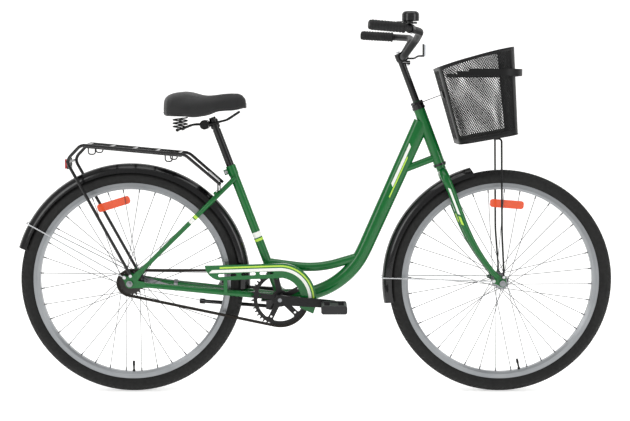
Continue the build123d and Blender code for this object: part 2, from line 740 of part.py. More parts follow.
def fender_stay(centre, angle, low, half_y):
    """A wire stay over a fender, with both ends bolted near the axle."""
    top = around(centre, fender_r + 3.2, angle)
    run = (top - low).normalized()
    over = fender_half_w + 4
    points = [low + SIDE * half_y, low + run * 50 + SIDE * half_y, top - run * 40 + SIDE * over,
              top + SIDE * over]
    mirrored = [Vector(p.X, -p.Y, p.Z) for p in reversed(points)]
    wire = bent_bar(points + mirrored, [90, 90, 12, 12, 90, 90], stay_wire_r)
    eyes = [cross_rod(low.X, low.Z, s * (half_y - 2.3), s * (half_y + 2.3), 5.5) for s in (1, -1)]
    return wire + eyes[0] + eyes[1] - cross_rod(low.X, low.Z, -90, 90, 2.52)


def fender_tip_cut(centre, angle):
    """The wedge taken off a fender's front end, so that it slants."""
    edge = around(centre, fender_r + 2, angle)
    return Pos(*edge) * Rot(0, -angle - 35, 0) * Pos(0, 0, 60) * Box(200, 100, 120)


# ---------------------------------------------------------------- rack


def rack_rail():
    """One side tube of the rack: from the seatstay up, along the deck, and down to the dropout."""
    y = rack_half_w
    points = [
        (288, 55, 670), (178, y, 765), (-146, y, 795), (-193, y, 746), (4.5, drop_y + dropout_t + 7, 383),
    ]
    rail = bent_bar(points, [40, 28, 28], rack_tube_r)
    return rail - cross_rod(4.5, 383, 0, 90, 2.52)


def rack_deck_z(x):
    """The height of the deck's centre line at a distance ahead of the rear axle."""
    return 795 + (x + 146) * (765 - 795) / (178 + 146)


def rack_bars(rails):
    """The deck's crossbars, its two inner rails, its wire hooks and the reflector plate."""
    made = []
    for x in (-132, -60, 12, 84, 156):
        bar = cross_rod(x, rack_deck_z(x), -rack_half_w, rack_half_w, 4)
        made.append(bar - rails[0] - rails[1])
    for y in (-24, 24):
        low = 7.5
        made.append(rod((-140, y, rack_deck_z(-140) - low), (164, y, rack_deck_z(164) - low), 3.45))
    for x in (-112, 128):
        z = rack_deck_z(x)
        side_y = rack_half_w
        points = [(x - 11, side_y, z - 7), (x - 11, side_y, z - 26), (x + 11, side_y, z - 26),
                  (x + 11, side_y, z - 7)]
        hook = bent_bar(points, [8, 8], 2)
        made += [p - rails[0] - rails[1] for p in both_sides(hook)]
    web = Pos(262, 0, 692.5) * Rot(0, 40.8, 0) * Box(46, 106, 2)
    for side in (1, -1):
        web += Pos(279.5, side * 46, 662) * Box(3, 22, 34) - seatstay_bar(side)
    made.append(web - rails[0] - rails[1])
    plate_bar = cross_rod(-190, 742, -rack_half_w, rack_half_w, 4) - rails[0] - rails[1]
    made.append(plate_bar)
    made.append(Pos(-195.4, 0, 734) * Box(2.6, 70, 34) - cross_rod(-190, 742, -80, 80, 4))
    return made


# ---------------------------------------------------------------- drivetrain


def toothed_disc(teeth, radius, thickness, first_valley):
    """A toothed disc for a roller chain, as an outline with one trapezoid for each tooth."""
    points = []
    step = 360 / teeth
    root = radius - roller_r - 0.3
    for k in range(teeth):
        middle = first_valley + step * (k + 0.5)
        for r, half_w in ((root, 3.0), (radius, 2.2), (radius + 3.6, 1.1)):
            points.append((r, middle - degrees(half_w / r)))
        for r, half_w in ((radius + 3.6, 1.1), (radius, 2.2), (root, 3.0)):
            points.append((r, middle + degrees(half_w / r)))
    corners = [(r * cos(radians(a)), r * sin(radians(a))) for r, a in points]
    return make_face(Polyline(*corners, close=True).edges())


def chain_run():
    """The two sprockets' tangent points: (ring top, ring bottom, sprocket top, sprocket bottom).

    Each is an angle above the forward direction, the same for both discs on one run."""
    gap = Vector(bb_x, 0, bb_z) - REAR
    reach = hypot(gap.X, gap.Z)
    lean = degrees(atan2(gap.Z, gap.X))
    open_by = degrees(acos((ring_r - sprocket_r) / reach))
    top = lean + 180 - open_by
    low = lean + 180 + open_by
    return top, low, reach * sin(radians(open_by))


def straight_places(start, end):
    """Roller places between two rollers on a straight run, without its ends."""
    count = max(round((end - start).length / pitch), 2)
    return [flat(start + (end - start) * (k / count)) for k in range(1, count)]


def chain_points():
    """The places of the rollers, each in (forward, up): both straight runs and both wraps."""
    top, low, straight = chain_run()
    ring_step, sprocket_step = 360 / ring_teeth, 360 / sprocket_teeth
    ring_wrap = 360 - (low - top)
    on_ring = [around(BB, ring_r, top - ring_step * k) for k in range(int(ring_wrap / ring_step) + 1)]
    wrap = int((low - top) / sprocket_step) + 1
    on_sprocket = [around(REAR, sprocket_r, top + sprocket_step * k) for k in range(wrap)]
    rollers = [flat(p) for p in on_ring + on_sprocket]
    rollers += straight_places(on_sprocket[0], on_ring[0])
    return rollers + straight_places(on_ring[-1], on_sprocket[-1])


def chain_loop(grow):
    """The chain's outline as a closed band edge, at a distance outside its pitch line."""
    discs = Pos(*flat(REAR)) * Circle(sprocket_r + grow), Pos(*flat(BB)) * Circle(ring_r + grow)
    return make_hull([edge for disc in discs for edge in disc.edges()])


def chain():
    """The chain: two bands of side plates, joined by a roller at each pitch."""
    band = chain_loop(3.9) - chain_loop(-3.9)
    made = plate(band, -chain_y - 4.2, 1.8) + plate(band, -chain_y + 2.4, 1.8)
    for x, z in chain_points():
        made += cross_rod(x, z, -chain_y - 2.6, -chain_y + 2.6, 3.2)
    return made


def chainring():
    """The chainring, with five windows between its arms and a centre hole for the crank."""
    top, low, straight = chain_run()
    disc = toothed_disc(ring_teeth, ring_r, 2, top)
    windows = Sketch()
    ring = Circle(73) - Circle(27)
    arms = Sketch()
    for k in range(5):
        arms += Rot(0, 0, 28 + 72 * k) * Pos(50, 0) * Rectangle(60, 17)
    windows = fillet((ring - arms).vertices(), 5)
    disc -= windows
    for k in range(5):
        disc -= Rot(0, 0, 28 + 72 * k) * Pos(65, 0) * Circle(3.4)
    disc -= Circle(13.02)
    return Pos(bb_x, 0, bb_z) * plate(disc, -chain_y - 1, 2)


def sprocket():
    """The rear sprocket on its driver sleeve, bored for the axle."""
    top = chain_run()[0]
    made = plate(toothed_disc(sprocket_teeth, sprocket_r, 2, top), -chain_y - 1, 2)
    made += cross_rod(0, 0, -chain_y - 5, -chain_y + 3, 15)
    return Pos(*REAR) * (made - cross_rod(0, 0, -chain_y - 6, -chain_y + 6, axle_r + bearing_gap))


def spindle():
    """The bottom bracket spindle, thinner where the cranks sit."""
    bar = cross_rod(bb_x, bb_z, -42, 42, 8.5)
    return bar + cross_rod(bb_x, bb_z, -84, 84, 6.5)


def crank(side):
    """A crank arm with its boss, and the hole for the pedal spindle."""
    run = -1 if side > 0 else 1
    angle = radians(crank_drop_angle)
    end = (run * crank_len * cos(angle), -run * crank_len * sin(angle))
    outline = link_outline((0, 0), end, 15.5, 12)
    low = crank_inner_y if side > 0 else -crank_inner_y - crank_t
    arm = plate(outline, low, crank_t)
    boss_from = 46.2 if side < 0 else 44.0
    boss = cross_rod(0, 0, side * boss_from, side * (crank_inner_y + 1), 17)
    if side < 0:
        boss += cross_rod(0, 0, side * 43, side * 47, 13)
    arm += boss
    arm -= cross_rod(0, 0, side * 40, side * 90, 6.52)
    arm -= cross_rod(end[0], end[1], side * 60, side * 100, 6.02)
    return Pos(bb_x, 0, bb_z) * arm


def pedal_at(side):
    """A pedal's centre line, in (forward, up)."""
    run = -1 if side > 0 else 1
    angle = radians(crank_drop_angle)
    return bb_x + run * crank_len * cos(angle), bb_z - run * crank_len * sin(angle)


def pedal_spindle(side):
    """A pedal spindle, from the crank out through the pedal."""
    x, z = pedal_at(side)
    inner = crank_inner_y + 1
    outer = crank_inner_y + crank_t + 8 + pedal_w
    collar = cross_rod(x, z, side * (crank_inner_y + crank_t), side * (crank_inner_y + crank_t + 5), 8.5)
    return cross_rod(x, z, side * inner, side * (outer - 4), 6.0) + collar


def pedal(side):
    """A pedal body: a barrel on the spindle between two tread bars and two end plates."""
    x, z = pedal_at(side)
    start = crank_inner_y + crank_t + 8
    block = Box(pedal_l, pedal_w, pedal_h)
    block = fillet(block.edges().filter_by(Axis.Y), 7)
    for s in (1, -1):
        block -= Pos(s * 22, 0, 0) * Box(17, pedal_w - 22, 40)
    block -= Pos(0, 0, pedal_h / 2) * Box(90, pedal_w - 22, 5)
    block -= Pos(0, 0, -pedal_h / 2) * Box(90, pedal_w - 22, 5)
    body = Pos(x, side * (start + pedal_w / 2), z) * block
    return body - cross_rod(x, z, side * (start - 5), side * (start + pedal_w - 3), 6.05)


def chain_guard():
    """The chain guard: a flat band above the chain that curls round the front of the chainring."""
    cx, cz = bb_x, bb_z
    out, low = guard_outer_r, guard_inner_r
    start, stop = 84.0, -24.0
    rise = around(BB, out, start)
    top_left = (237.0, 413.5)
    foot = around(BB, out, stop)
    toe = around(BB, low, stop)
    inner_top = around(BB, low + 1, 84)
    outer_arc = ThreePointArc(flat(rise), flat(around(BB, out, 30)), flat(foot))
    inner_arc = ThreePointArc(flat(toe), flat(around(BB, low, 30)), flat(inner_top))
    lower_left = (289.0, 367.3)
    edges = [
        Line(top_left, flat(rise)), outer_arc, Line(flat(foot), flat(toe)), inner_arc,
        Line(flat(inner_top), lower_left),
        ThreePointArc(lower_left, (256, 379), top_left),
    ]
    face = make_face([e for edge in edges for e in edge.edges()])
    skin = plate(face, -guard_y - guard_t, guard_t)
    for x, length in ((308, 58), (375, 46), (432, 44)):
        z = 384 + (x - 308) * 0.055
        slot = Pos(x, z) * Rot(0, 0, 3.2) * SlotOverall(length, 9)
        skin -= plate(slot, -guard_y - 10, 20)
    walk = [
        ThreePointArc(flat(rise), flat(around(BB, out, 30)), flat(foot)),
        ThreePointArc(flat(around(BB, out - 2, stop)), flat(around(BB, out - 2, 30)),
                      flat(around(BB, out - 2, start))),
        Line(top_left, flat(rise)),
        Line((top_left[0], top_left[1] - 2), flat(around(BB, out - 2, start))),
        Line(top_left, (top_left[0], top_left[1] - 2)),
        Line(flat(foot), flat(around(BB, out - 2, stop))),
    ]
    lip = make_face([e for edge in walk for e in edge.edges()])
    return skin + plate(lip, -guard_y, 8)


def guard_brackets():
    """The bracket from the right chainstay to the chain guard, and the peg on the lower tube."""
    strap = Pos(302, -guard_y + 1.5, 352) * Box(12, 3, 50)
    tab = Pos(302, -guard_y + 8, 327.5) * Box(12, 16, 3)
    peg = cross_rod(531, 402, -guard_y, -8, 4)
    return [strap + tab - chainstay_bar(-1), peg - mid_tube_bar()]


# ---------------------------------------------------------------- seat


def seatpost():
    """The seatpost, a tube that is thinner at the top for the saddle clamp."""
    low, step, top = 290.0, 572.0, 612.0
    post = rod(seat(0, low), seat(0, step), post_r) + rod(seat(0, step), seat(0, top), 11.0)
    return post - rod(seat(0, low - 1), seat(0, step - 4), post_r - 1.7)


CLAMP = Vector(236.6, 0, 857)


def saddle_clamp():
    """The saddle clamp: a sleeve on the post, and a cross bolt with two discs on the rails."""
    sleeve = rod(seat(0, 576), seat(0, 604), 15) - rod(seat(0, 570), seat(0, 610), 11.02)
    barrel = cross_rod(CLAMP.X, CLAMP.Z, -16, 16, 11) - rod(seat(0, 570), seat(0, 620), 15)
    discs = []
    for s in (1, -1):
        disc = cross_rod(CLAMP.X, CLAMP.Z, s * 16, s * 30, 15)
        nut = cross_rod(CLAMP.X, CLAMP.Z, s * 30, s * 37, 7.5)
        discs.append(disc + nut)
    made = sleeve + barrel + discs[0] + discs[1]
    for rail in both_sides(saddle_rail(0.02)):
        made -= rail
    return made - rod(seat(0, 570), seat(0, 620), 11.02)


def saddle_rail(grow=0.0):
    """One saddle rail, from the nose through the clamp to the spring at the back."""
    points = [(346, 12, 898), (306, 23, 872), (250, 23, 858), (200, 23, 858), (158, 62, 842)]
    return bent_bar(points, [30, 60, 30], 3.5 + grow)


def saddle_springs():
    """The coil springs under the back of the saddle, with their bolts."""
    made = []
    for s in (1, -1):
        coil = Helix(pitch=10.5, height=31.5, radius=14, center=(0, 0, 0))
        wire = sweep(Plane(origin=coil @ 0, z_dir=coil % 0) * Circle(2.2), path=coil, is_frenet=True)
        made.append(Pos(158, s * 74, 847) * wire)
        made.append(cross_rod(158, 842, s * 62, s * 90, 5) - saddle_rail_of(s))
    return made


def saddle_rail_of(side):
    """The saddle rail of one side."""
    return both_sides(saddle_rail())[0 if side > 0 else 1]


def saddle_cover():
    """The saddle as a plain closed body: wide at the back, narrow at the nose."""
    stations = [
        (108, 62, 917, 16), (128, 96, 920, 33), (165, saddle_w / 2, 922, 39), (205, 99, 922, 38.5),
        (245, 70, 921, 32), (285, 43, 923, 30), (325, 33, 928, 29), (352, 27, 930, 24), (368, 14, 930, 12),
    ]
    wires = []
    for x, half_w, z, half_h in stations:
        plane = Plane(origin=(x, 0, z), x_dir=(0, 1, 0), z_dir=(1, 0, 0))
        wires.append(Wire.make_ellipse(half_w, half_h, plane))
    return Solid.make_loft(wires)


# ---------------------------------------------------------------- kickstand and brake arm

STAND_PIVOT = Vector(440, 30, 268)


def kickstand():
    """The kickstand leg, folded back along the chainstay, with its pivot barrel and rubber foot."""
    start = STAND_PIVOT + Vector(0, 8, 0)
    end = start + Vector(-stand_leg_len * 0.981, stand_leg_len * 0.158, stand_leg_len * 0.047)
    leg = rod(start, end, stand_leg_r)
    barrel = cross_rod(STAND_PIVOT.X, STAND_PIVOT.Z, 30, 46, 11)
    foot = rod(end - (end - start).normalized() * 16, end, 8.5)
    made = leg + barrel + foot
    return made - cross_rod(STAND_PIVOT.X, STAND_PIVOT.Z, 0, 60, 5.05)


def kickstand_bracket(bars):
    """The plate that hangs the kickstand under the chainstays, with its pivot pin."""
    top = Pos(430, 0, 297) * Box(34, 60, 5)
    drop = Pos(440, 24, 279) * Box(26, 10, 36)
    pin = cross_rod(STAND_PIVOT.X, STAND_PIVOT.Z, 24, 47, 5.0)
    head = cross_rod(STAND_PIVOT.X, STAND_PIVOT.Z, 46.3, 50, 9)
    made = top + drop + pin + head
    for bar in bars:
        made -= bar
    return made


def brake_arm(stay):
    """The coaster brake's reaction arm under the left chainstay, with its clip."""
    x_clip, z_low = 133.0, 324.0
    outline = link_outline(flat(REAR), (x_clip, z_low), 15, 7)
    outline -= Pos(*flat(REAR)) * Circle(axle_r + 0.02)
    arm = plate(outline, 47.2, 2.2)
    stay_z = wheel_r - (wheel_r - bb_z) / bb_x * x_clip
    ring = rod((x_clip - 6, 51, stay_z + 0.6), (x_clip + 6, 51.4, stay_z - 0.6), 12)
    tab = Pos(x_clip, 51, 327) * Box(12, 5, 18)
    return (arm + ring + tab) - stay


def small_bolts():
    """The bolts of the binder, the rack, the fender stays and the basket stays."""
    top = seat_tube_len - 15
    binder = rod(seat(-20, top, -13), seat(-20, top, 13), 3.0)
    binder += rod(seat(-20, top, -13), seat(-20, top, -8.1), 5.5)
    binder += rod(seat(-20, top, 8.1), seat(-20, top, 13), 5.5)
    made = [binder]
    for s in (1, -1):
        out = drop_y + dropout_t
        rack_bolt = cross_rod(4.5, 383, s * (drop_y - 1), s * (out + 14), 2.5)
        rack_bolt += cross_rod(4.5, 383, s * (out + 12.1), s * (out + 16), 5)
        stay_bolt = cross_rod(-16.5, 376.8, s * (drop_y - 1), s * (out + 6), 2.5)
        stay_bolt += cross_rod(-16.5, 376.8, s * (out + 4.8), s * (out + 7.5), 4.5)
        made += [rack_bolt, stay_bolt]
    return made


def fork_bolts():
    """The bolts through the fork ends for the basket stays and the front fender stay."""
    made = []
    out = fork_drop_y + dropout_t
    for s in (1, -1):
        for x, z, length in ((FRONT.X + 3, wheel_r + 20.5, 6.4), (FRONT.X - 28, wheel_r + 7, 4.8)):
            bolt = cross_rod(x, z, s * (fork_drop_y - 1), s * (out + length + 2), 2.5)
            bolt += cross_rod(x, z, s * (out + length + 0.1), s * (out + length + 3.5), 4.6)
            made.append(bolt)
    return made


# ---------------------------------------------------------------- write every node

os.makedirs("parts", exist_ok=True)

save_frame()
front_ends = (40.0, -40.0, 13.2)
rear_ends = (46.0, -41.0, 21.0)
save_wheel("front", FRONT, (front_flange_r, front_flange_y), (12.0,), front_ends, -77, (85.6, 248, 0))
save_wheel("rear", REAR, (rear_flange_r, rear_flange_y), (18.0,), rear_ends, -90, (103, 254, -4))
front_cones = ((-fork_drop_y + 0.05, -40.3), (40.3, fork_drop_y - 0.05))
rear_cones = ((-drop_y + 0.05, -50.3), (49.6, drop_y - 0.05))
save("front_axle", *[Pos(*FRONT) * s for s in axle(66, front_spacing, front_cones, 8)])
save("rear_axle", *[Pos(*REAR) * s for s in axle(80, rear_spacing, rear_cones, 8)])

rails = both_sides(rack_rail())
save("rack_rails", *rails)
save("rack_crossbars", *rack_bars(rails))
save("rear_reflector", Pos(-200.2, 0, 734) * Box(7, 66, 30))
rear_low = Vector(-16.5, 0, 376.8)
front_low = Vector(FRONT.X - 28, 0, wheel_r + 7)
save("rear_fender_stay", fender_stay(REAR, 150.3, rear_low, drop_y + dropout_t + 2.4))
save("front_fender_stay", fender_stay(FRONT, 178, front_low, fork_drop_y + dropout_t + 2.4))
save("rear_fender", fender(REAR, -3.5, rear_tip_angle, fender_r))
save("front_fender", fender(FRONT, 85.6, 190.8, fender_r) - fender_tip_cut(FRONT, 85.6))

save("fork_crown", fork_crown())
save("fork_blades", fork_blade(1), fork_blade(-1))
save("headset_nuts", *headset_nuts())
save("stem", stem())
save("stem_bolts", *stem_bolts())
save("handlebar", handlebar())
save("grips", *both_sides(grip()))
save("bell", *bell())
save("bell_lever", bell_lever())
save("front_reflector", *front_reflector())
save("basket", basket())
save("basket_mounts", *basket_mounts(), *handle_pins())
save("basket_handle", basket_handle())

save("chain", chain())
save("chainring", chainring())
save("rear_sprocket", sprocket())
save("crank_spindle", spindle())
save("crank_arms", crank(-1), crank(1))
save("pedal_spindles", pedal_spindle(1), pedal_spindle(-1))
save("right_pedal", pedal(-1))
save("left_pedal", pedal(1))
save("chain_guard", chain_guard(), *guard_brackets())

save("seatpost", seatpost())
save("saddle_clamp", saddle_clamp())
save("saddle_rails", *both_sides(saddle_rail()), *saddle_springs())
save("saddle_cover", saddle_cover())

save("kickstand_leg", kickstand())
save("kickstand_bracket", kickstand_bracket([chainstay_bar(1), chainstay_bar(-1)]))
save("brake_arm", brake_arm(chainstay_bar(1)))
save("frame_bolts", *small_bolts())
save("fork_bolts", *fork_bolts())
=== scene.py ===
import json
import math

import bpy
import numpy as np
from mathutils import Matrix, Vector


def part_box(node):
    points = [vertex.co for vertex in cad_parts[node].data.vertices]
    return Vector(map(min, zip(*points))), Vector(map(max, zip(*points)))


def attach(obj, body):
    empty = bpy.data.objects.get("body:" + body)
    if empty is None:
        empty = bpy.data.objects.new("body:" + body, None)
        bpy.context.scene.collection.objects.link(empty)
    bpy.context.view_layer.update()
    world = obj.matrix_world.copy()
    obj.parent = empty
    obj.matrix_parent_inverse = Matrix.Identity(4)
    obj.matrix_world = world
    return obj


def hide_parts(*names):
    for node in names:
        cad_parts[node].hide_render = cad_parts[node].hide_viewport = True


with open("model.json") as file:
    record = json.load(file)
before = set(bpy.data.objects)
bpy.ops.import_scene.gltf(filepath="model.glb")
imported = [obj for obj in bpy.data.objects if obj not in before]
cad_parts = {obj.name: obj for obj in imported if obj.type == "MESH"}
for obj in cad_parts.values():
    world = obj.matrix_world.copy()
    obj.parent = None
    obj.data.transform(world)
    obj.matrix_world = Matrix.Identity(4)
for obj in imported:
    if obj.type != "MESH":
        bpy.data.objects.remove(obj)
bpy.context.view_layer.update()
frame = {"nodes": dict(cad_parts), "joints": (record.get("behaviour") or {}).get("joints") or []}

MM = 0.001


# ---------------------------------------------------------------- places taken from the frame


def span(name):
    """A node's lowest and highest corners as arrays, in metres."""
    low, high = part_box(name)
    return np.array(low), np.array(high)


JOINTS = {joint["name"]: joint for joint in frame["joints"]}
REAR = np.array(JOINTS["rear_spin"]["pos_m"])
FRONT = np.array(JOINTS["front_spin"]["pos_m"])
BB = np.array(JOINTS["crank_spin"]["pos_m"])
STEER_UP = np.array(JOINTS["steering"]["axis"])
STEER_FOOT = np.array(JOINTS["steering"]["pos_m"])
SEAT_UP = np.array(JOINTS["seat_height"]["axis"])
WHEEL_R = REAR[2]


# ---------------------------------------------------------------- colour and nodes


def linear(code):
    """An sRGB hex value as linear RGBA."""
    parts = [int(code[i:i + 2], 16) / 255 for i in (1, 3, 5)]
    return tuple(c / 12.92 if c <= 0.04045 else ((c + 0.055) / 1.055) ** 2.4 for c in parts) + (1.0,)


def node(tree, kind, inputs=None, **settings):
    """Adds a node; an input is a value, or a socket to link from, by name or number."""
    made = tree.nodes.new("ShaderNode" + kind)
    for key, value in settings.items():
        setattr(made, key, value)
    for key, value in (inputs or {}).items():
        if isinstance(value, bpy.types.NodeSocket):
            tree.links.new(value, made.inputs[key])
        else:
            made.inputs[key].default_value = value
    return made


def sheet_of_paint(name):
    """A new material with its tree, its shader and a node of Object coordinates."""
    material = bpy.data.materials.new(name)
    material.use_nodes = True
    tree = material.node_tree
    shader = tree.nodes["Principled BSDF"]
    place = node(tree, "TexCoord").outputs["Object"]
    return material, tree, shader, place


def fixed(shader, **values):
    """Sets the shader's own sockets: an underscore in a name stands for a space."""
    for key, value in values.items():
        shader.inputs[key.replace("_", " ")].default_value = value


def noise(tree, place, scale, detail=2.0):
    """Noise with features about 1 / scale metres apart."""
    made = node(tree, "TexNoise", {"Vector": place, "Scale": scale, "Detail": detail})
    return made.outputs["Fac"]


def shift(tree, factor, low, high):
    """A ramp from one colour to another, as a socket."""
    made = node(tree, "Mix", {"Factor": factor}, data_type="RGBA")
    made.inputs[6].default_value = linear(low) if isinstance(low, str) else (0, 0, 0, 1)
    made.inputs[7].default_value = linear(high) if isinstance(high, str) else (0, 0, 0, 1)
    if not isinstance(low, str):
        tree.links.new(low, made.inputs[6])
    return made.outputs[2]


def ranged(tree, factor, low, high):
    """A value from 0.3..0.7 stretched to low..high."""
    made = node(tree, "MapRange", {"Value": factor, "From Min": 0.3, "From Max": 0.7, "To Min": low, "To Max": high})
    return made.outputs["Result"]


def bumped(tree, shader, height, depth_mm, strength=1.0):
    """Joins a height, 0 to 1, to the shader's normal, at a depth in millimetres."""
    made = node(tree, "Bump", {"Height": height, "Distance": depth_mm * MM, "Strength": strength})
    tree.links.new(made.outputs["Normal"], shader.inputs["Normal"])


def compare(tree, value, centre, half):
    """1 where a value is within half of the centre, otherwise 0."""
    made = node(tree, "Math", {0: value, 1: centre, 2: half}, operation="COMPARE")
    return made.outputs[0]


def along(tree, place, origin, axis):
    """How far a point is along an axis from an origin, in metres."""
    offset = node(tree, "VectorMath", {0: place, 1: tuple(origin)}, operation="SUBTRACT")
    made = node(tree, "VectorMath", {0: offset.outputs[0], 1: tuple(axis)}, operation="DOT_PRODUCT")
    return made.outputs["Value"]


def times(tree, a, b):
    """The product of two sockets or numbers."""
    return node(tree, "Math", {0: a, 1: b}, operation="MULTIPLY").outputs[0]


# ---------------------------------------------------------------- materials

GREEN, GREEN_LIT = "#005a22", "#006a2a"
WHITE, LIME = "#eef0ea", "#b8e04a"


def enamel(name, deep, lit, bands=()):
    """Stoved enamel under clear lacquer: deep colour, sharp gloss and a faint orange peel.

    A band is (mask maker, hex colour): its paint lies over the base colour."""
    material, tree, shader, place = sheet_of_paint(name)
    colour = shift(tree, noise(tree, place, 18.0), deep, lit)
    for mask, code in bands:
        colour = shift(tree, mask(tree, place), colour, code)
    tree.links.new(colour, shader.inputs["Base Color"])
    tree.links.new(ranged(tree, noise(tree, place, 60.0), 0.16, 0.26), shader.inputs["Roughness"])
    fixed(shader, Coat_Weight=0.3, Coat_Roughness=0.04, IOR=1.5, Specular_IOR_Level=0.35)
    bumped(tree, shader, noise(tree, place, 420.0), 0.02)
    return material


def powder_coat(name, deep, lit, rough=0.42):
    """Baked powder coat: even colour, satin sheen and a fine pebbled skin."""
    material, tree, shader, place = sheet_of_paint(name)
    tree.links.new(shift(tree, noise(tree, place, 30.0), deep, lit), shader.inputs["Base Color"])
    tree.links.new(ranged(tree, noise(tree, place, 150.0), rough - 0.06, rough + 0.06), shader.inputs["Roughness"])
    fixed(shader, IOR=1.5, Specular_IOR_Level=0.3)
    bumped(tree, shader, noise(tree, place, 900.0, 3.0), 0.05)
    return material


def metal(name, code, worn, rough, grain=(1, 1, 1), depth=0.01):
    """Bare metal: its grain is noise stretched along the way it was drawn, turned or brushed."""
    material, tree, shader, place = sheet_of_paint(name)
    stretched = node(tree, "VectorMath", {0: place, 1: grain}, operation="MULTIPLY").outputs[0]
    lines = noise(tree, stretched, 1.0, 4.0)
    tree.links.new(shift(tree, lines, worn, code), shader.inputs["Base Color"])
    tree.links.new(ranged(tree, lines, rough - 0.07, rough + 0.07), shader.inputs["Roughness"])
    fixed(shader, Metallic=1.0)
    bumped(tree, shader, lines, depth)
    return material


def turned_metal(name, centre, code, worn, rough, depth=0.012):
    """Metal rolled or turned about an axle: its grain runs in rings, so it depends on the radius."""
    material, tree, shader, place = sheet_of_paint(name)
    offset = node(tree, "VectorMath", {0: place, 1: tuple(centre)}, operation="SUBTRACT").outputs[0]
    parts = node(tree, "SeparateXYZ", {0: offset})
    flat = node(tree, "CombineXYZ", {0: parts.outputs[0], 2: parts.outputs[2]})
    radius = node(tree, "VectorMath", {0: flat.outputs[0]}, operation="LENGTH").outputs["Value"]
    rings = node(tree, "CombineXYZ", {0: times(tree, radius, 900.0), 1: times(tree, parts.outputs[1], 900.0)})
    lines = noise(tree, rings.outputs[0], 1.0, 3.0)
    cloudy = noise(tree, place, 14.0)
    tree.links.new(shift(tree, times(tree, lines, cloudy), worn, code), shader.inputs["Base Color"])
    tree.links.new(ranged(tree, lines, rough - 0.06, rough + 0.08), shader.inputs["Roughness"])
    fixed(shader, Metallic=1.0)
    bumped(tree, shader, lines, depth)
    return material


def rubber(name, deep, dusty, rough, grain_mm, depth):
    """Vulcanised rubber: nearly black, matte, with a little dust in its fine mould grain."""
    material, tree, shader, place = sheet_of_paint(name)
    tree.links.new(shift(tree, noise(tree, place, 25.0, 4.0), deep, dusty), shader.inputs["Base Color"])
    tree.links.new(ranged(tree, noise(tree, place, 90.0), rough - 0.08, rough + 0.08), shader.inputs["Roughness"])
    fixed(shader, IOR=1.52, Specular_IOR_Level=0.32)
    bumped(tree, shader, noise(tree, place, 1000.0 / grain_mm, 3.0), depth)
    return material


def moulded(name, deep, lit, rough, grain_mm=0.9):
    """Injection moulded ABS: even colour, soft sheen and a spark-eroded grain."""
    material, tree, shader, place = sheet_of_paint(name)
    tree.links.new(shift(tree, noise(tree, place, 40.0), deep, lit), shader.inputs["Base Color"])
    tree.links.new(ranged(tree, noise(tree, place, 200.0), rough - 0.05, rough + 0.05), shader.inputs["Roughness"])
    fixed(shader, IOR=1.53)
    bumped(tree, shader, noise(tree, place, 1000.0 / grain_mm), 0.03)
    return material


def prisms(name, deep, lit, cell_mm):
    """Acrylic reflector: a clear coloured face over rows of small corner prisms."""
    material, tree, shader, place = sheet_of_paint(name)
    cells = node(tree, "TexVoronoi", {"Vector": place, "Scale": 1000.0 / cell_mm, "Randomness": 0.0}, distance="CHEBYCHEV")
    tree.links.new(shift(tree, cells.outputs["Distance"], deep, lit), shader.inputs["Base Color"])
    tree.links.new(ranged(tree, noise(tree, place, 80.0), 0.10, 0.16), shader.inputs["Roughness"])
    fixed(shader, Coat_Weight=1.0, Coat_Roughness=0.02, IOR=1.49)
    bumped(tree, shader, cells.outputs["Distance"], 0.6)
    return material


def lens_in_housing(name, deep, lit, cell_mm, origin, axis):
    """A reflector whose face beyond a plane is clear prisms and whose housing behind it is black."""
    material = prisms(name, deep, lit, cell_mm)
    tree = material.node_tree
    shader = tree.nodes["Principled BSDF"]
    place = tree.nodes["Texture Coordinate"].outputs["Object"]
    ahead = node(tree, "Math", {0: along(tree, place, origin, axis), 1: 0.0}, operation="GREATER_THAN").outputs[0]
    face = shader.inputs["Base Color"].links[0].from_socket
    made = node(tree, "Mix", {"Factor": ahead, 7: face}, data_type="RGBA")
    made.inputs[6].default_value = linear("#0b0b0c")
    tree.links.new(made.outputs[2], shader.inputs["Base Color"])
    return material


def vinyl(name):
    """Embossed PVC leathercloth, heat-formed over foam: fine grain cells with soft creases."""
    material, tree, shader, place = sheet_of_paint(name)
    grain = node(tree, "TexVoronoi", {"Vector": place, "Scale": 900.0}, feature="DISTANCE_TO_EDGE")
    edge = node(tree, "MapRange", {"Value": grain.outputs["Distance"], "From Min": 0.0, "From Max": 0.18})
    soft = noise(tree, place, 22.0)
    tree.links.new(shift(tree, soft, "#0a0a0b", "#171718"), shader.inputs["Base Color"])
    tree.links.new(ranged(tree, soft, 0.42, 0.52), shader.inputs["Roughness"])
    fixed(shader, IOR=1.5, Specular_IOR_Level=0.4, Sheen_Weight=0.03)
    bumped(tree, shader, edge.outputs["Result"], 0.12)
    return material


# ---------------------------------------------------------------- painted bands


def ring_band(origin, axis, at_mm, half_mm):
    """A band square across a tube, at a distance along it."""
    def mask(tree, place):
        return compare(tree, along(tree, place, origin, axis), at_mm * MM, half_mm * MM)
    return mask


def side_stripe(origin, axis, from_mm, to_mm, half_mm, across_mm=0.0):
    """A stripe lengthways on both flanks of a tube, with ends cut on the slant.

    It is where the distance across the axis, in the bicycle's plane, is small."""
    across = np.array([axis[2], 0.0, -axis[0]])

    def mask(tree, place):
        far = along(tree, place, origin, axis)
        off = along(tree, place, origin, across)
        slanted = node(tree, "Math", {0: off, 1: 1.0, 2: far}, operation="MULTIPLY_ADD").outputs[0]
        length = compare(tree, slanted, (from_mm + to_mm) / 2 * MM, (to_mm - from_mm) / 2 * MM)
        return times(tree, length, compare(tree, off, across_mm * MM, half_mm * MM))
    return mask


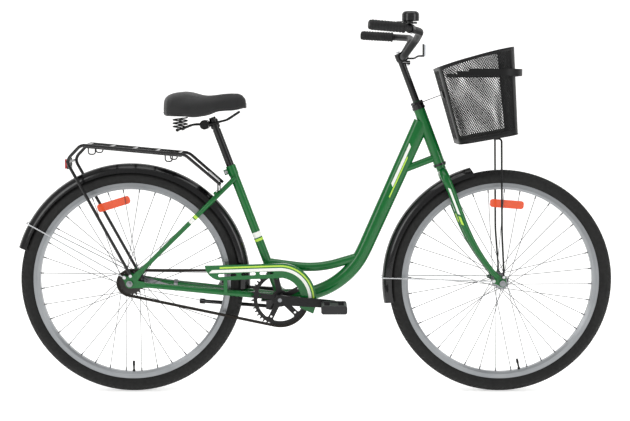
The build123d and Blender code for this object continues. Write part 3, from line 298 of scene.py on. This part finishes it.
def guard_band(depth_mm, half_mm, start_mm, slant):
    """A stripe that runs along the chain guard's top edge and then round its arc.

    Its depth is measured down from the straight edge, or in from the arc's radius."""
    low, high = span("chain_guard")
    outer = high[2] - BB[2]
    left = np.array([low[0], 0.0, BB[2] + 0.106])
    edge = np.array([BB[0], 0.0, high[2]]) - left
    edge /= np.linalg.norm(edge)
    up = np.array([-edge[2], 0.0, edge[0]])

    def mask(tree, place):
        ahead = along(tree, place, BB, edge)
        drop = along(tree, place, BB + up * outer, up)
        offset = node(tree, "VectorMath", {0: place, 1: tuple(BB)}, operation="SUBTRACT").outputs[0]
        plane = node(tree, "VectorMath", {0: offset, 1: (1.0, 0.0, 1.0)}, operation="MULTIPLY").outputs[0]
        radius = node(tree, "VectorMath", {0: plane}, operation="LENGTH").outputs["Value"]
        inward = node(tree, "Math", {0: radius, 1: outer}, operation="SUBTRACT").outputs[0]
        front = node(tree, "Math", {0: ahead, 1: 0.0}, operation="GREATER_THAN").outputs[0]
        depth = node(tree, "Mix", {"Factor": front, 2: drop, 3: inward}, data_type="FLOAT").outputs[0]
        high_up = node(tree, "Math", {0: along(tree, place, BB, (0, 0, 1)), 1: 0.004},
                       operation="GREATER_THAN").outputs[0]
        slanted = node(tree, "Math", {0: depth, 1: slant, 2: ahead}, operation="MULTIPLY_ADD").outputs[0]
        begun = node(tree, "Math", {0: slanted, 1: start_mm * MM}, operation="GREATER_THAN").outputs[0]
        line = compare(tree, depth, -depth_mm * MM, half_mm * MM)
        return times(tree, times(tree, line, high_up), begun)
    return mask


# ---------------------------------------------------------------- surfaces


def built(name, points, faces, material, smooth=True):
    """A mesh object at the origin from points in metres and faces of one size."""
    mesh = bpy.data.meshes.new(name)
    corners = np.asarray(faces, np.int32)
    count, size = corners.shape
    mesh.vertices.add(len(points))
    mesh.vertices.foreach_set("co", np.asarray(points, np.float32).ravel())
    mesh.loops.add(count * size)
    mesh.loops.foreach_set("vertex_index", corners.ravel())
    mesh.polygons.add(count)
    mesh.polygons.foreach_set("loop_start", np.arange(count, dtype=np.int32) * size)
    mesh.polygons.foreach_set("use_smooth", np.full(count, smooth))
    mesh.update(calc_edges=True)
    mesh.validate()
    mesh.materials.append(material)
    made = bpy.data.objects.new(name, mesh)
    bpy.context.scene.collection.objects.link(made)
    return made


def grid_faces(rows, columns, wrap_rows, wrap_columns):
    """Quads over a grid of rows by columns of points, closed round either way."""
    i = np.arange(rows if wrap_rows else rows - 1)[:, None]
    j = np.arange(columns if wrap_columns else columns - 1)[None, :]
    below, beside = (i + 1) % rows, (j + 1) % columns
    quads = np.stack(np.broadcast_arrays(
        i * columns + j, i * columns + beside, below * columns + beside, below * columns + j), -1)
    return quads.reshape(-1, 4)


def surface(name, grid, material, wrap_rows=False, wrap_columns=False, flip=False):
    """A surface over a grid of points of shape (rows, columns, 3)."""
    rows, columns = grid.shape[:2]
    faces = grid_faces(rows, columns, wrap_rows, wrap_columns)
    return built(name, grid.reshape(-1, 3), faces[:, ::-1] if flip else faces, material)


def bars(paths, normals, half_wide, half_thick):
    """Flat bars along many paths at once: points (k, n, 4, 3) from paths (k, n, 3).

    Each path's section is a rectangle: wide across the run and the normal, thick along the normal."""
    run = np.gradient(paths, axis=1)
    run /= np.linalg.norm(run, axis=2, keepdims=True)
    wide = np.cross(run, normals)
    wide /= np.linalg.norm(wide, axis=2, keepdims=True)
    corners = [(1, 1), (-1, 1), (-1, -1), (1, -1)]
    return np.stack([paths + wide * (a * half_wide) + normals * (b * half_thick) for a, b in corners], 2)


def bar_mesh(name, sections, material):
    """One mesh of many bars from their sections (k, n, 4, 3), with both ends of each closed."""
    count, steps, sides = sections.shape[:3]
    one = grid_faces(steps, sides, False, True)
    ends = np.array([[3, 2, 1, 0], [(steps - 1) * sides + c for c in range(4)]])
    each = np.concatenate([one, ends])
    faces = each[None] + (np.arange(count) * steps * sides)[:, None, None]
    return built(name, sections.reshape(-1, 3), faces.reshape(-1, 4), material, smooth=False)


def tube(name, path, radius, material, sides=12, closed=False):
    """A round tube along a path of points; its section turns with the path about a fixed side."""
    path = np.asarray(path, float)
    if closed:
        run = np.roll(path, -1, 0) - np.roll(path, 1, 0)
    else:
        run = np.gradient(path, axis=0)
    run /= np.linalg.norm(run, axis=1, keepdims=True)
    guide = np.array([0.13, 0.21, 0.97]) if abs(run[:, 2]).mean() < 0.7 else np.array([0.97, 0.2, 0.1])
    first = np.cross(run, guide)
    first /= np.linalg.norm(first, axis=1, keepdims=True)
    second = np.cross(run, first)
    angle = np.linspace(0, 2 * math.pi, sides, endpoint=False)
    grid = path[:, None] + radius * (first[:, None] * np.cos(angle)[None, :, None]
                                     + second[:, None] * np.sin(angle)[None, :, None])
    if not closed:
        grid = np.concatenate([path[:1, None].repeat(sides, 1), grid, path[-1:, None].repeat(sides, 1)])
    return surface(name, grid, material, wrap_rows=closed, wrap_columns=True, flip=True)


def smooth_rows(values, stations, where):
    """Values at stations, joined by smooth curves: cubic between neighbours with matched slopes."""
    values, stations = np.asarray(values, float), np.asarray(stations, float)
    slopes = np.gradient(values, stations)
    k = np.clip(np.searchsorted(stations, where) - 1, 0, len(stations) - 2)
    gap = stations[k + 1] - stations[k]
    t = (where - stations[k]) / gap
    return ((2 * t**3 - 3 * t**2 + 1) * values[k] + (t**3 - 2 * t**2 + t) * gap * slopes[k]
            + (-2 * t**3 + 3 * t**2) * values[k + 1] + (t**3 - t**2) * gap * slopes[k + 1])


def ride(piece, body, slot, *replaced):
    """Puts a piece on its body and hides the nodes that it stands for; its slot is not used."""
    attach(piece, body)
    if replaced:
        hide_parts(*replaced)
    return piece


# ---------------------------------------------------------------- finishes

STEM_AXIS = -STEER_UP
green_paint = enamel("green_enamel", GREEN, GREEN_LIT)
seat_tube_paint = enamel("green_enamel_seat_tube", GREEN, GREEN_LIT, (
    (ring_band(BB, SEAT_UP, 196, 4), LIME), (ring_band(BB, SEAT_UP, 213, 9), WHITE)))
STAY_RUN = np.array([0.7118, 0.0, 0.7024])
seatstay_paint = enamel("green_enamel_seatstays", GREEN, GREEN_LIT, (
    (ring_band(REAR, STAY_RUN, 296, 4.5), LIME), (ring_band(REAR, STAY_RUN, 279, 9), WHITE)))
DOWN_RUN = np.array([math.cos(math.radians(66)), 0.0, math.sin(math.radians(66))])
down_top = STEER_FOOT + STEER_UP * 0.572
down_tube_paint = enamel("green_enamel_down_tube", GREEN, GREEN_LIT, (
    (side_stripe(down_top, -DOWN_RUN, 95, 235, 4.5, 5.0), WHITE),
    (side_stripe(down_top, -DOWN_RUN, 125, 265, 2.0, -3.0), LIME)))
blade_top = STEER_FOOT + STEER_UP * 0.30
fork_paint = enamel("green_enamel_fork", GREEN, GREEN_LIT, (
    (side_stripe(blade_top, STEM_AXIS, -40, 48, 3.2, 2.0), WHITE),
    (side_stripe(blade_top, STEM_AXIS, 56, 84, 3.2, 3.0), LIME)))
guard_paint = enamel("green_enamel_chain_guard", GREEN, GREEN_LIT, (
    (guard_band(8.0, 2.4, -187, 0.0), LIME), (guard_band(19.0, 4.8, -196, -1.1), WHITE)))

# Stoved black enamel on the fenders, rack and stem: mirror gloss with long soft highlights.
black_gloss = enamel("black_enamel", "#060607", "#0b0b0c")
# Powder coat on the handlebar, basket, springs and cranks: satin, so highlights are wide and dim.
satin_black = powder_coat("black_powder_coat", "#070708", "#0e0e0f")
basket_black = powder_coat("black_dipped_steel", "#060607", "#101011", 0.48)
crank_black = powder_coat("black_forged_arm", "#0a0a0b", "#121213", 0.36)
# Rolled aluminium rims: pale grey with fine rings from the mill.
front_rim_metal = turned_metal("rolled_aluminium_front", FRONT, "#b4b6b8", "#8a8d90", 0.34)
rear_rim_metal = turned_metal("rolled_aluminium_rear", REAR, "#b4b6b8", "#8a8d90", 0.34)
hub_metal_front = turned_metal("turned_steel_hub_front", FRONT, "#b9babd", "#85878a", 0.28)
hub_metal_rear = turned_metal("turned_steel_hub_rear", REAR, "#8b8c8f", "#54565a", 0.3)
# Drawn stainless wire: a dull grey with thin bright lines along its length.
spoke_metal = metal("drawn_stainless_wire", "#6c6d70", "#4c4d50", 0.3, (120, 120, 120))
# Bright zinc and chrome on the small hardware.
chrome = metal("nickel_chrome_plate", "#d9dadc", "#b4b6b8", 0.12, (260, 260, 260), 0.004)
zinc = metal("bright_zinc_plate", "#a9abae", "#77797c", 0.34, (400, 400, 400))
# Oiled roller chain and blackened ring: dark steel with a warm worn edge.
chain_metal = metal("oiled_chain_steel", "#3a3734", "#1d1b19", 0.36, (500, 500, 500), 0.02)
ring_black = powder_coat("blackened_ring_steel", "#0c0c0d", "#1b1a19", 0.34)
sprocket_metal = turned_metal("hardened_sprocket_steel", REAR, "#5d5b59", "#2e2c2b", 0.36)
tyre_rubber = rubber("tyre_rubber", "#0c0c0c", "#191918", 0.68, 1.2, 0.08)
grip_rubber = rubber("grip_rubber", "#101011", "#1b1b1b", 0.6, 0.8, 0.06)
pedal_plastic = moulded("pedal_nylon", "#0d0d0e", "#17171a", 0.5)
bell_plastic = moulded("bell_abs", "#0b0b0c", "#131314", 0.22)
orange_lens = prisms("orange_acrylic_prisms", "#d8320a", "#ff6a1a", 3.6)
red_lens = prisms("red_acrylic_prisms", "#8e0c0c", "#d92020", 3.6)
lens_back = span("front_reflector")[1] - np.array([0.0049, 0, 0])
clear_lens = lens_in_housing("clear_acrylic_prisms", "#b9bec4", "#eef2f6", 3.0, lens_back, (1, 0, 0))
saddle_vinyl = vinyl("saddle_leathercloth")

NODE_FINISH = {
    green_paint: ("head_tube", "step_tubes", "bottom_bracket_shell", "chainstays", "rear_dropouts",
                  "stay_bridges", "fork_crown"),
    seat_tube_paint: ("seat_tube",), seatstay_paint: ("seatstays",), down_tube_paint: ("down_tube",),
    fork_paint: ("fork_blades",), guard_paint: ("chain_guard",),
    black_gloss: ("bearing_cups", "rack_rails", "rack_crossbars", "rear_fender", "front_fender", "headset_nuts",
                  "stem", "seatpost", "saddle_clamp", "kickstand_bracket"),
    satin_black: ("handlebar", "basket_mounts", "basket_handle", "saddle_rails", "kickstand_leg"),
    crank_black: ("crank_arms",), ring_black: ("chainring",), chain_metal: ("chain",),
    sprocket_metal: ("rear_sprocket",), zinc: ("rear_axle", "front_axle", "crank_spindle", "pedal_spindles", "brake_arm"),
    chrome: ("rear_fender_stay", "front_fender_stay", "frame_bolts", "fork_bolts", "stem_bolts"),
    grip_rubber: ("grips",), bell_plastic: ("bell", "bell_lever"), clear_lens: ("front_reflector",),
    red_lens: ("rear_reflector",), orange_lens: ("front_spoke_reflector", "rear_spoke_reflector"),
    front_rim_metal: ("front_rim",), rear_rim_metal: ("rear_rim",), hub_metal_front: ("front_hub",),
    hub_metal_rear: ("rear_hub",), spoke_metal: ("front_spokes", "rear_spokes"),
    pedal_plastic: ("right_pedal", "left_pedal"),
}
for finish, names in NODE_FINISH.items():
    for name in names:
        mesh = frame["nodes"][name].data
        mesh.materials.clear()
        mesh.materials.append(finish)


# ---------------------------------------------------------------- tyres


def tyre(name, centre, body, node_name):
    """A tyre: a circle of rubber carried round the wheel, with its tread cut into it.

    A point is at radius R + a(v) cos v from the axle and a(v) sin v to the side. The tread's
    grooves lower it: two rings, slanted cuts in the shoulders and fine notches below them."""
    low, high = span(node_name)
    half = (high[1] - low[1]) / 2
    ring = WHEEL_R - half
    turns = 1120
    u = np.linspace(0, 2 * math.pi, turns, endpoint=False)[:, None]
    reach = math.radians(143)
    v = np.linspace(-reach, reach, 61)[None, :]
    side = np.abs(v)
    blocks = 140
    slant = np.cos(blocks * u + 5.2 * side * np.sign(v) + 0.6 * np.sign(v))
    shoulder = ((side > 0.42) & (side < 1.02)) * (slant > 0.45)
    rings = np.exp(-((side - 0.33) / 0.06) ** 2) + 0.6 * np.exp(-(side / 0.05) ** 2)
    notch = ((side > 1.06) & (side < 1.2)) * (np.cos(2 * blocks * u) > 0.1)
    bead = 0.0007 * np.exp(-((side - 1.32) / 0.03) ** 2) + 0.0006 * np.exp(-((side - 1.95) / 0.03) ** 2)
    depth = 0.0016 * shoulder + 0.0014 * np.clip(rings, 0, 1) + 0.0008 * notch - bead
    pinch = 1.0 - 0.06 * np.clip(side - 1.7, 0, 1)
    a = half * pinch - depth
    radius = ring + a * np.cos(v)
    grid = np.stack([centre[0] + radius * np.cos(u), centre[1] + a * np.sin(v) + 0 * u,
                     centre[2] + radius * np.sin(u)], -1)
    piece = surface(name, grid, tyre_rubber, wrap_rows=True, flip=True)
    return ride(piece, body, "tyre", node_name)


tyre("front_tyre_tread", FRONT, "front_wheel", "front_tyre")
tyre("rear_tyre_tread", REAR, "rear_wheel", "rear_tyre")


def valve(name, centre, body, angle):
    """A valve: a turned stem with its nut and cap, from (distance from the axle, radius) steps."""
    out = np.array([math.cos(math.radians(angle)), 0.0, math.sin(math.radians(angle))])
    steps = np.array([(261, 0), (261, 3.2), (263, 3.9), (276, 3.9), (277, 2.9), (289, 2.9), (290, 4.2),
                      (294, 4.2), (296, 2.8), (303, 2.8), (303, 0)]) * MM
    turn = np.linspace(0, 2 * math.pi, 20, endpoint=False)
    first = np.array([0.0, 1.0, 0.0])
    second = np.cross(out, first)
    ring = first[None] * np.cos(turn)[:, None] + second[None] * np.sin(turn)[:, None]
    grid = centre + steps[:, 0, None, None] * out + steps[:, 1, None, None] * ring[None]
    piece = surface(name, grid, grip_rubber, wrap_columns=True)
    return ride(piece, body, "tyre")


valve("front_valve", FRONT, "front_wheel", -77)
valve("rear_valve", REAR, "rear_wheel", -90)


# ---------------------------------------------------------------- saddle

SADDLE_LOW, SADDLE_HIGH = span("saddle_cover")
STATIONS = np.array([0, 3, 12, 27, 52, 77, 97, 122, 142, 162, 193, 223, 239, 252, 258, 260]) * MM
CROWN = np.array([-32, -24, -14, -6.5, -1.5, 0, -3.5, -10, -11.5, -10, -6, -5, -7, -17, -29, -42]) * MM
FLANK = np.array([22, 46, 76, 96, 106, 107, 101, 82, 65, 51, 40, 34, 30, 21, 12, 2]) * MM
SKIRT = np.array([15, 9, 3, 1, 0, -1, -3, 0, 6, 14, 18, 20, 24, 28, 29, 31]) * MM


def saddle_point(u, v, inset=0.0):
    """The saddle's skin. u runs from its back to its nose, v once round a cross-section.

    A section is a rounded box, w sin v wide and h cos v high, with its sides pulled in below, a shallow
    valley along the middle of the top, and a hollow underneath."""
    x = u * STATIONS[-1]
    crown = smooth_rows(CROWN, STATIONS, x)
    flank = np.maximum(smooth_rows(FLANK, STATIONS, x) - inset, 0.0005)
    skirt = smooth_rows(SKIRT, STATIONS, x)
    top = SADDLE_HIGH[2] + crown - inset
    foot = SADDLE_LOW[2] - 0.004 + skirt + inset
    waist = foot + 0.30 * (top - foot)
    sine, cosine = np.sin(v), np.cos(v)
    over = cosine > 0
    power = np.where(over, 0.80, 0.62)
    y = flank * np.sign(sine) * np.abs(sine) ** power
    y = np.where(over, y, y * (1 - 0.06 * np.abs(cosine)))
    z_over = waist + (top - waist) * np.abs(cosine) ** 0.92
    z_under = waist - (waist - foot) * np.abs(cosine) ** 0.45
    z = np.where(over, z_over, z_under)
    rear = 1 / (1 + np.exp((x - 0.150) / 0.02))
    valley = 0.0048 * np.exp(-(y / 0.013) ** 2) * (0.35 + 0.65 * rear) * over
    hollow = 0.016 * np.clip(1 - (y / (flank * 0.86)) ** 2, 0, 1) ** 0.6 * ~over
    return np.stack([SADDLE_LOW[0] + x, y, z - valley + hollow], -1)


def saddle():
    """The padded cover, closed at the nose and at the back."""
    t = np.linspace(0, 1, 140)
    u = (0.5 - 0.5 * np.cos(math.pi * t))[:, None]
    v = np.linspace(0, 2 * math.pi, 128, endpoint=False)[None, :]
    grid = saddle_point(u + 0 * v, v + 0 * u)
    ends = [np.broadcast_to(grid[k].mean(0), grid[k].shape)[None] for k in (0, -1)]
    grid = np.concatenate([ends[0], grid, ends[1]])
    piece = surface("saddle_padding", grid, saddle_vinyl, wrap_columns=True, flip=True)
    return ride(piece, "seat", "saddle_skin", "saddle_cover")


def saddle_seam():
    """The welded seam: a thin cord that follows the skin just above its widest line."""
    u = np.linspace(0.012, 0.985, 150)
    for side, label in ((1, "left"), (-1, "right")):
        path = saddle_point(u, np.full_like(u, side * math.radians(99)))
        piece = tube(f"saddle_seam_{label}", path, 0.0013, saddle_vinyl, 8)
        ride(piece, "seat", "saddle_skin")


saddle()
saddle_seam()


# ---------------------------------------------------------------- basket

RIM_SIZE, FLOOR_SIZE = (0.242, 0.300, 0.070), (0.186, 0.220, 0.045)
RIM, FLOOR = FRONT + np.array([-0.0955, 0, 0.7092]), FRONT + np.array([-0.052, 0, 0.4568])
RIM_AHEAD = np.array([math.cos(math.radians(15.7)), 0.0, math.sin(math.radians(15.7))])
FLOOR_AHEAD = np.array([math.cos(math.radians(10.1)), 0.0, math.sin(math.radians(10.1))])
RIM_BOW = 0.006
FRONT_SHARE, CORNER_SHARE, SIDE_SHARE = 0.171, 0.106, 0.117
CORNER_STRIPS = ((0.0745, 0.1385), (-0.1385, -0.0745), (0.385, 0.4305), (-0.4305, -0.385))


def rounded_outline(size, s):
    """A point on a rounded rectangle, by the share s of the way round, and its outward normal.

    Each straight side and each corner takes a fixed share of the way round, so that outlines of
    different sizes match. s is 0 in the middle of the front and grows towards the left."""
    length, width, r = size
    marks = np.cumsum([0] + [FRONT_SHARE, CORNER_SHARE, SIDE_SHARE, CORNER_SHARE] * 2)
    t = (np.asarray(s, float) + FRONT_SHARE / 2) % 1.0
    hx, hy = length / 2 - r, width / 2 - r
    centres = [(hx, hy), (-hx, hy), (-hx, -hy), (hx, -hy)]
    x, y = np.zeros_like(t), np.zeros_like(t)
    nx, ny = np.zeros_like(t), np.zeros_like(t)
    for k, (cx, cy) in enumerate(centres):
        bx, by = centres[k - 1]
        turn = k * math.pi / 2
        f = (t - marks[2 * k]) / (marks[2 * k + 1] - marks[2 * k])
        flat = (f >= 0) & (f < 1)
        g = (t - marks[2 * k + 1]) / (marks[2 * k + 2] - marks[2 * k + 1])
        bend = (g >= 0) & (g < 1)
        angle = turn + np.where(bend, g, 0.0) * math.pi / 2
        here = flat | bend
        x = np.where(here, np.where(flat, bx + (cx - bx) * f, cx) + r * np.cos(angle), x)
        y = np.where(here, np.where(flat, by + (cy - by) * f, cy) + r * np.sin(angle), y)
        nx, ny = np.where(here, np.cos(angle), nx), np.where(here, np.sin(angle), ny)
    return x, y, nx, ny


def leaning(origin, ahead, x, y):
    """A point in the leaning plane of the basket's floor or rim."""
    return origin + x[..., None] * ahead + y[..., None] * np.array([0.0, 1.0, 0.0])


def wall_point(s, h, inset=0.0015):
    """A point on the basket's wall: s is the share of the way round and h the share of its height."""
    x0, y0, nx, ny = rounded_outline(FLOOR_SIZE, s)
    x1, y1, _, _ = rounded_outline(RIM_SIZE, s)
    low = leaning(FLOOR, FLOOR_AHEAD, x0 - inset * nx, y0 - inset * ny)
    high = leaning(RIM, RIM_AHEAD, x1 - inset * nx, y1 - inset * ny)
    high[..., 2] += RIM_BOW * (1 - (2 * x1 / RIM_SIZE[0]) ** 2)
    h = np.asarray(h)[..., None]
    return low + (high - low) * h


def wall_normal(s, h):
    """The outward direction of the wall."""
    step = 1e-3
    round_way = wall_point(s + step, h) - wall_point(s - step, h)
    upward = wall_point(s, h + step) - wall_point(s, h - step)
    normal = np.cross(round_way, upward)
    return normal / np.linalg.norm(normal, axis=-1, keepdims=True)


def wall_strands():
    """The wall's mesh: two families of thin strands that cross on the slant from floor to rim.

    A strand starts at s0 and moves 0.26 of the way round as it climbs; the families lean apart."""
    count, steps = 116, 44
    start = np.linspace(0, 1, count, endpoint=False)[:, None]
    h = np.linspace(0.02, 0.99, steps)[None, :]
    made = []
    for lean, out in ((0.235, 0.0), (-0.235, 0.0006)):
        s = start + lean * h
        hh = h + 0 * s
        normal = wall_normal(s, hh)
        made.append(bars(wall_point(s, hh) - normal * out, normal, 0.00085, 0.0005))
    return bar_mesh("basket_wall_mesh", np.concatenate(made), basket_black)


def floor_strands():
    """The floor's mesh: two families of slanted strands, each cut at the floor's edge."""
    pitch, length, width = 0.0095, FLOOR_SIZE[0] - 0.006, FLOOR_SIZE[1] - 0.006
    made = []
    for sign in (1, -1):
        offsets = np.arange(-(length + width) / 2 + 0.016, (length + width) / 2 - 0.012, pitch)
        low = np.maximum(-length / 2, -width / 2 + offsets)
        high = np.minimum(length / 2, width / 2 + offsets)
        t = np.linspace(0, 1, 5)[None, :]
        x = low[:, None] + (high - low)[:, None] * t
        y = sign * (x - offsets[:, None])
        trimmed = np.clip(x, -length / 2, length / 2)
        path = leaning(FLOOR + np.array([0, 0, 0.0012]), FLOOR_AHEAD, trimmed, np.clip(y, -width / 2, width / 2))
        up = np.array([-FLOOR_AHEAD[2], 0.0, FLOOR_AHEAD[0]])
        made.append(bars(path, np.broadcast_to(up, path.shape), 0.00085, 0.0005))
    return bar_mesh("basket_floor_mesh", np.concatenate(made), basket_black)


def wall_sheet(name, s_from, s_to, h_from, h_to, columns, rows, thick=0.0011):
    """A solid strip of sheet on the wall between two shares of the way round and two heights."""
    s = np.linspace(s_from, s_to, columns)[None, :]
    h = np.linspace(h_from, h_to, rows)[:, None]
    s, h = s + 0 * h, h + 0 * s
    outer = wall_point(s, h, 0.0002)
    inner = wall_point(s, h, 0.0002 + thick + 0.0012)
    ring = np.concatenate([outer, inner[:, ::-1]], 1)
    closed = np.concatenate([ring[:1] * 0 + ring[0].mean(0), ring, ring[:1] * 0 + ring[-1].mean(0)])
    return surface(name, closed, basket_black, wrap_columns=True)


def basket():
    """The basket: mesh walls and floor, corner sheets, a foot band, a folded rim and its wire."""
    strands = wall_strands()
    ride(strands, "steering", "basket_steel", "basket")
    ride(floor_strands(), "steering", "basket_steel")
    for k, (s_from, s_to) in enumerate(CORNER_STRIPS):
        ride(wall_sheet(f"basket_corner_{k + 1}", s_from, s_to, 0.0, 0.995, 14, 30), "steering", "basket_steel")
    band = wall_band("basket_foot_band", -0.006, 0.058)
    ride(band, "steering", "basket_steel")
    ride(wall_band("basket_rim_band", 0.965, 1.0), "steering", "basket_steel")
    s = np.linspace(0, 1, 220, endpoint=False)
    rim = tube("basket_rim_wire", wall_point(s, np.full_like(s, 0.992), 0.0028), 0.0026, basket_black, 10, closed=True)
    ride(rim, "steering", "basket_steel")
    foot = tube("basket_floor_wire", wall_point(s, np.full_like(s, 0.004), 0.003), 0.0022, basket_black, 8, closed=True)
    ride(foot, "steering", "basket_steel")


def wall_band(name, h_from, h_to):
    """A band of sheet all the way round the wall, between two heights."""
    s = np.linspace(0, 1, 220, endpoint=False)[:, None]
    h = np.array([h_from, h_to, h_to, h_from])[None, :]
    inset = np.array([0.0002, 0.0002, 0.0026, 0.0026])
    columns = [wall_point(s[:, 0], h[0, k] + 0 * s[:, 0], inset[k]) for k in range(4)]
    return surface(name, np.stack(columns, 1), basket_black, wrap_rows=True, wrap_columns=True, flip=False)


basket()


# ---------------------------------------------------------------- floor, light and camera


def backdrop():
    """A pale floor that turns up into a wall behind: flat, then a quarter circle, then straight up."""
    back, radius = 3.2, 2.2
    arc = np.linspace(0, math.pi / 2, 24)
    y = np.concatenate([[-9.0, 0.0], back + radius * np.sin(arc), [back + radius]])
    z = np.concatenate([[0.0, 0.0], radius - radius * np.cos(arc), [9.0]])
    x = np.array([-14.0, 14.0])
    grid = np.stack(np.broadcast_arrays(x[None, :], y[:, None], z[:, None]), -1)
    material, tree, shader, place = sheet_of_paint("pale_studio_paper")
    tree.links.new(shift(tree, noise(tree, place, 0.6), "#f4f4f3", "#fafaf9"), shader.inputs["Base Color"])
    fixed(shader, Roughness=0.9, Emission_Color=linear("#ffffff"), Emission_Strength=0.5)
    surface("studio_floor", grid, material, flip=False)


def soft_light(name, place, towards, size, power, shade="#ffffff"):
    """A large soft light aimed at a point."""
    data = bpy.data.lights.new(name, "AREA")
    data.shape = "RECTANGLE"
    data.size, data.size_y = size
    data.energy = power
    data.color = linear(shade)[:3]
    lamp = bpy.data.objects.new(name, data)
    lamp.location = place
    lamp.rotation_euler = (Vector(towards) - Vector(place)).to_track_quat("-Z", "Y").to_euler()
    bpy.context.scene.collection.objects.link(lamp)


def studio():
    """Pale surroundings with three soft boxes, and the camera level with the handlebar."""
    world = bpy.data.worlds.new("studio")
    bpy.context.scene.world = world
    world.use_nodes = True
    world.node_tree.nodes["Background"].inputs[0].default_value = linear("#ffffff")
    world.node_tree.nodes["Background"].inputs[1].default_value = 0.45
    soft_light("overhead_box", (0.2, -0.6, 3.4), (0.0, 0.0, 0.4), (3.6, 2.2), 46)
    soft_light("left_box", (-2.8, -2.6, 1.9), (-0.2, 0.0, 0.6), (1.2, 2.2), 28)
    soft_light("right_box", (2.9, -2.2, 1.6), (0.3, 0.0, 0.6), (1.0, 2.0), 20)
    camera = bpy.data.objects.new("camera", bpy.data.cameras.new("camera"))
    camera.data.lens = 68.3
    camera.data.sensor_width = 36.0
    camera.data.clip_end = 100.0
    camera.location = (-0.0018, -3.8, 0.935)
    aim = Vector((-0.0018, 0.0, 0.5835)) - camera.location
    camera.rotation_euler = aim.to_track_quat("-Z", "Y").to_euler()
    bpy.context.scene.collection.objects.link(camera)
    bpy.context.scene.camera = camera
    bpy.context.scene.view_settings.view_transform = "Standard"


backdrop()
studio()

bpy.context.view_layer.update()
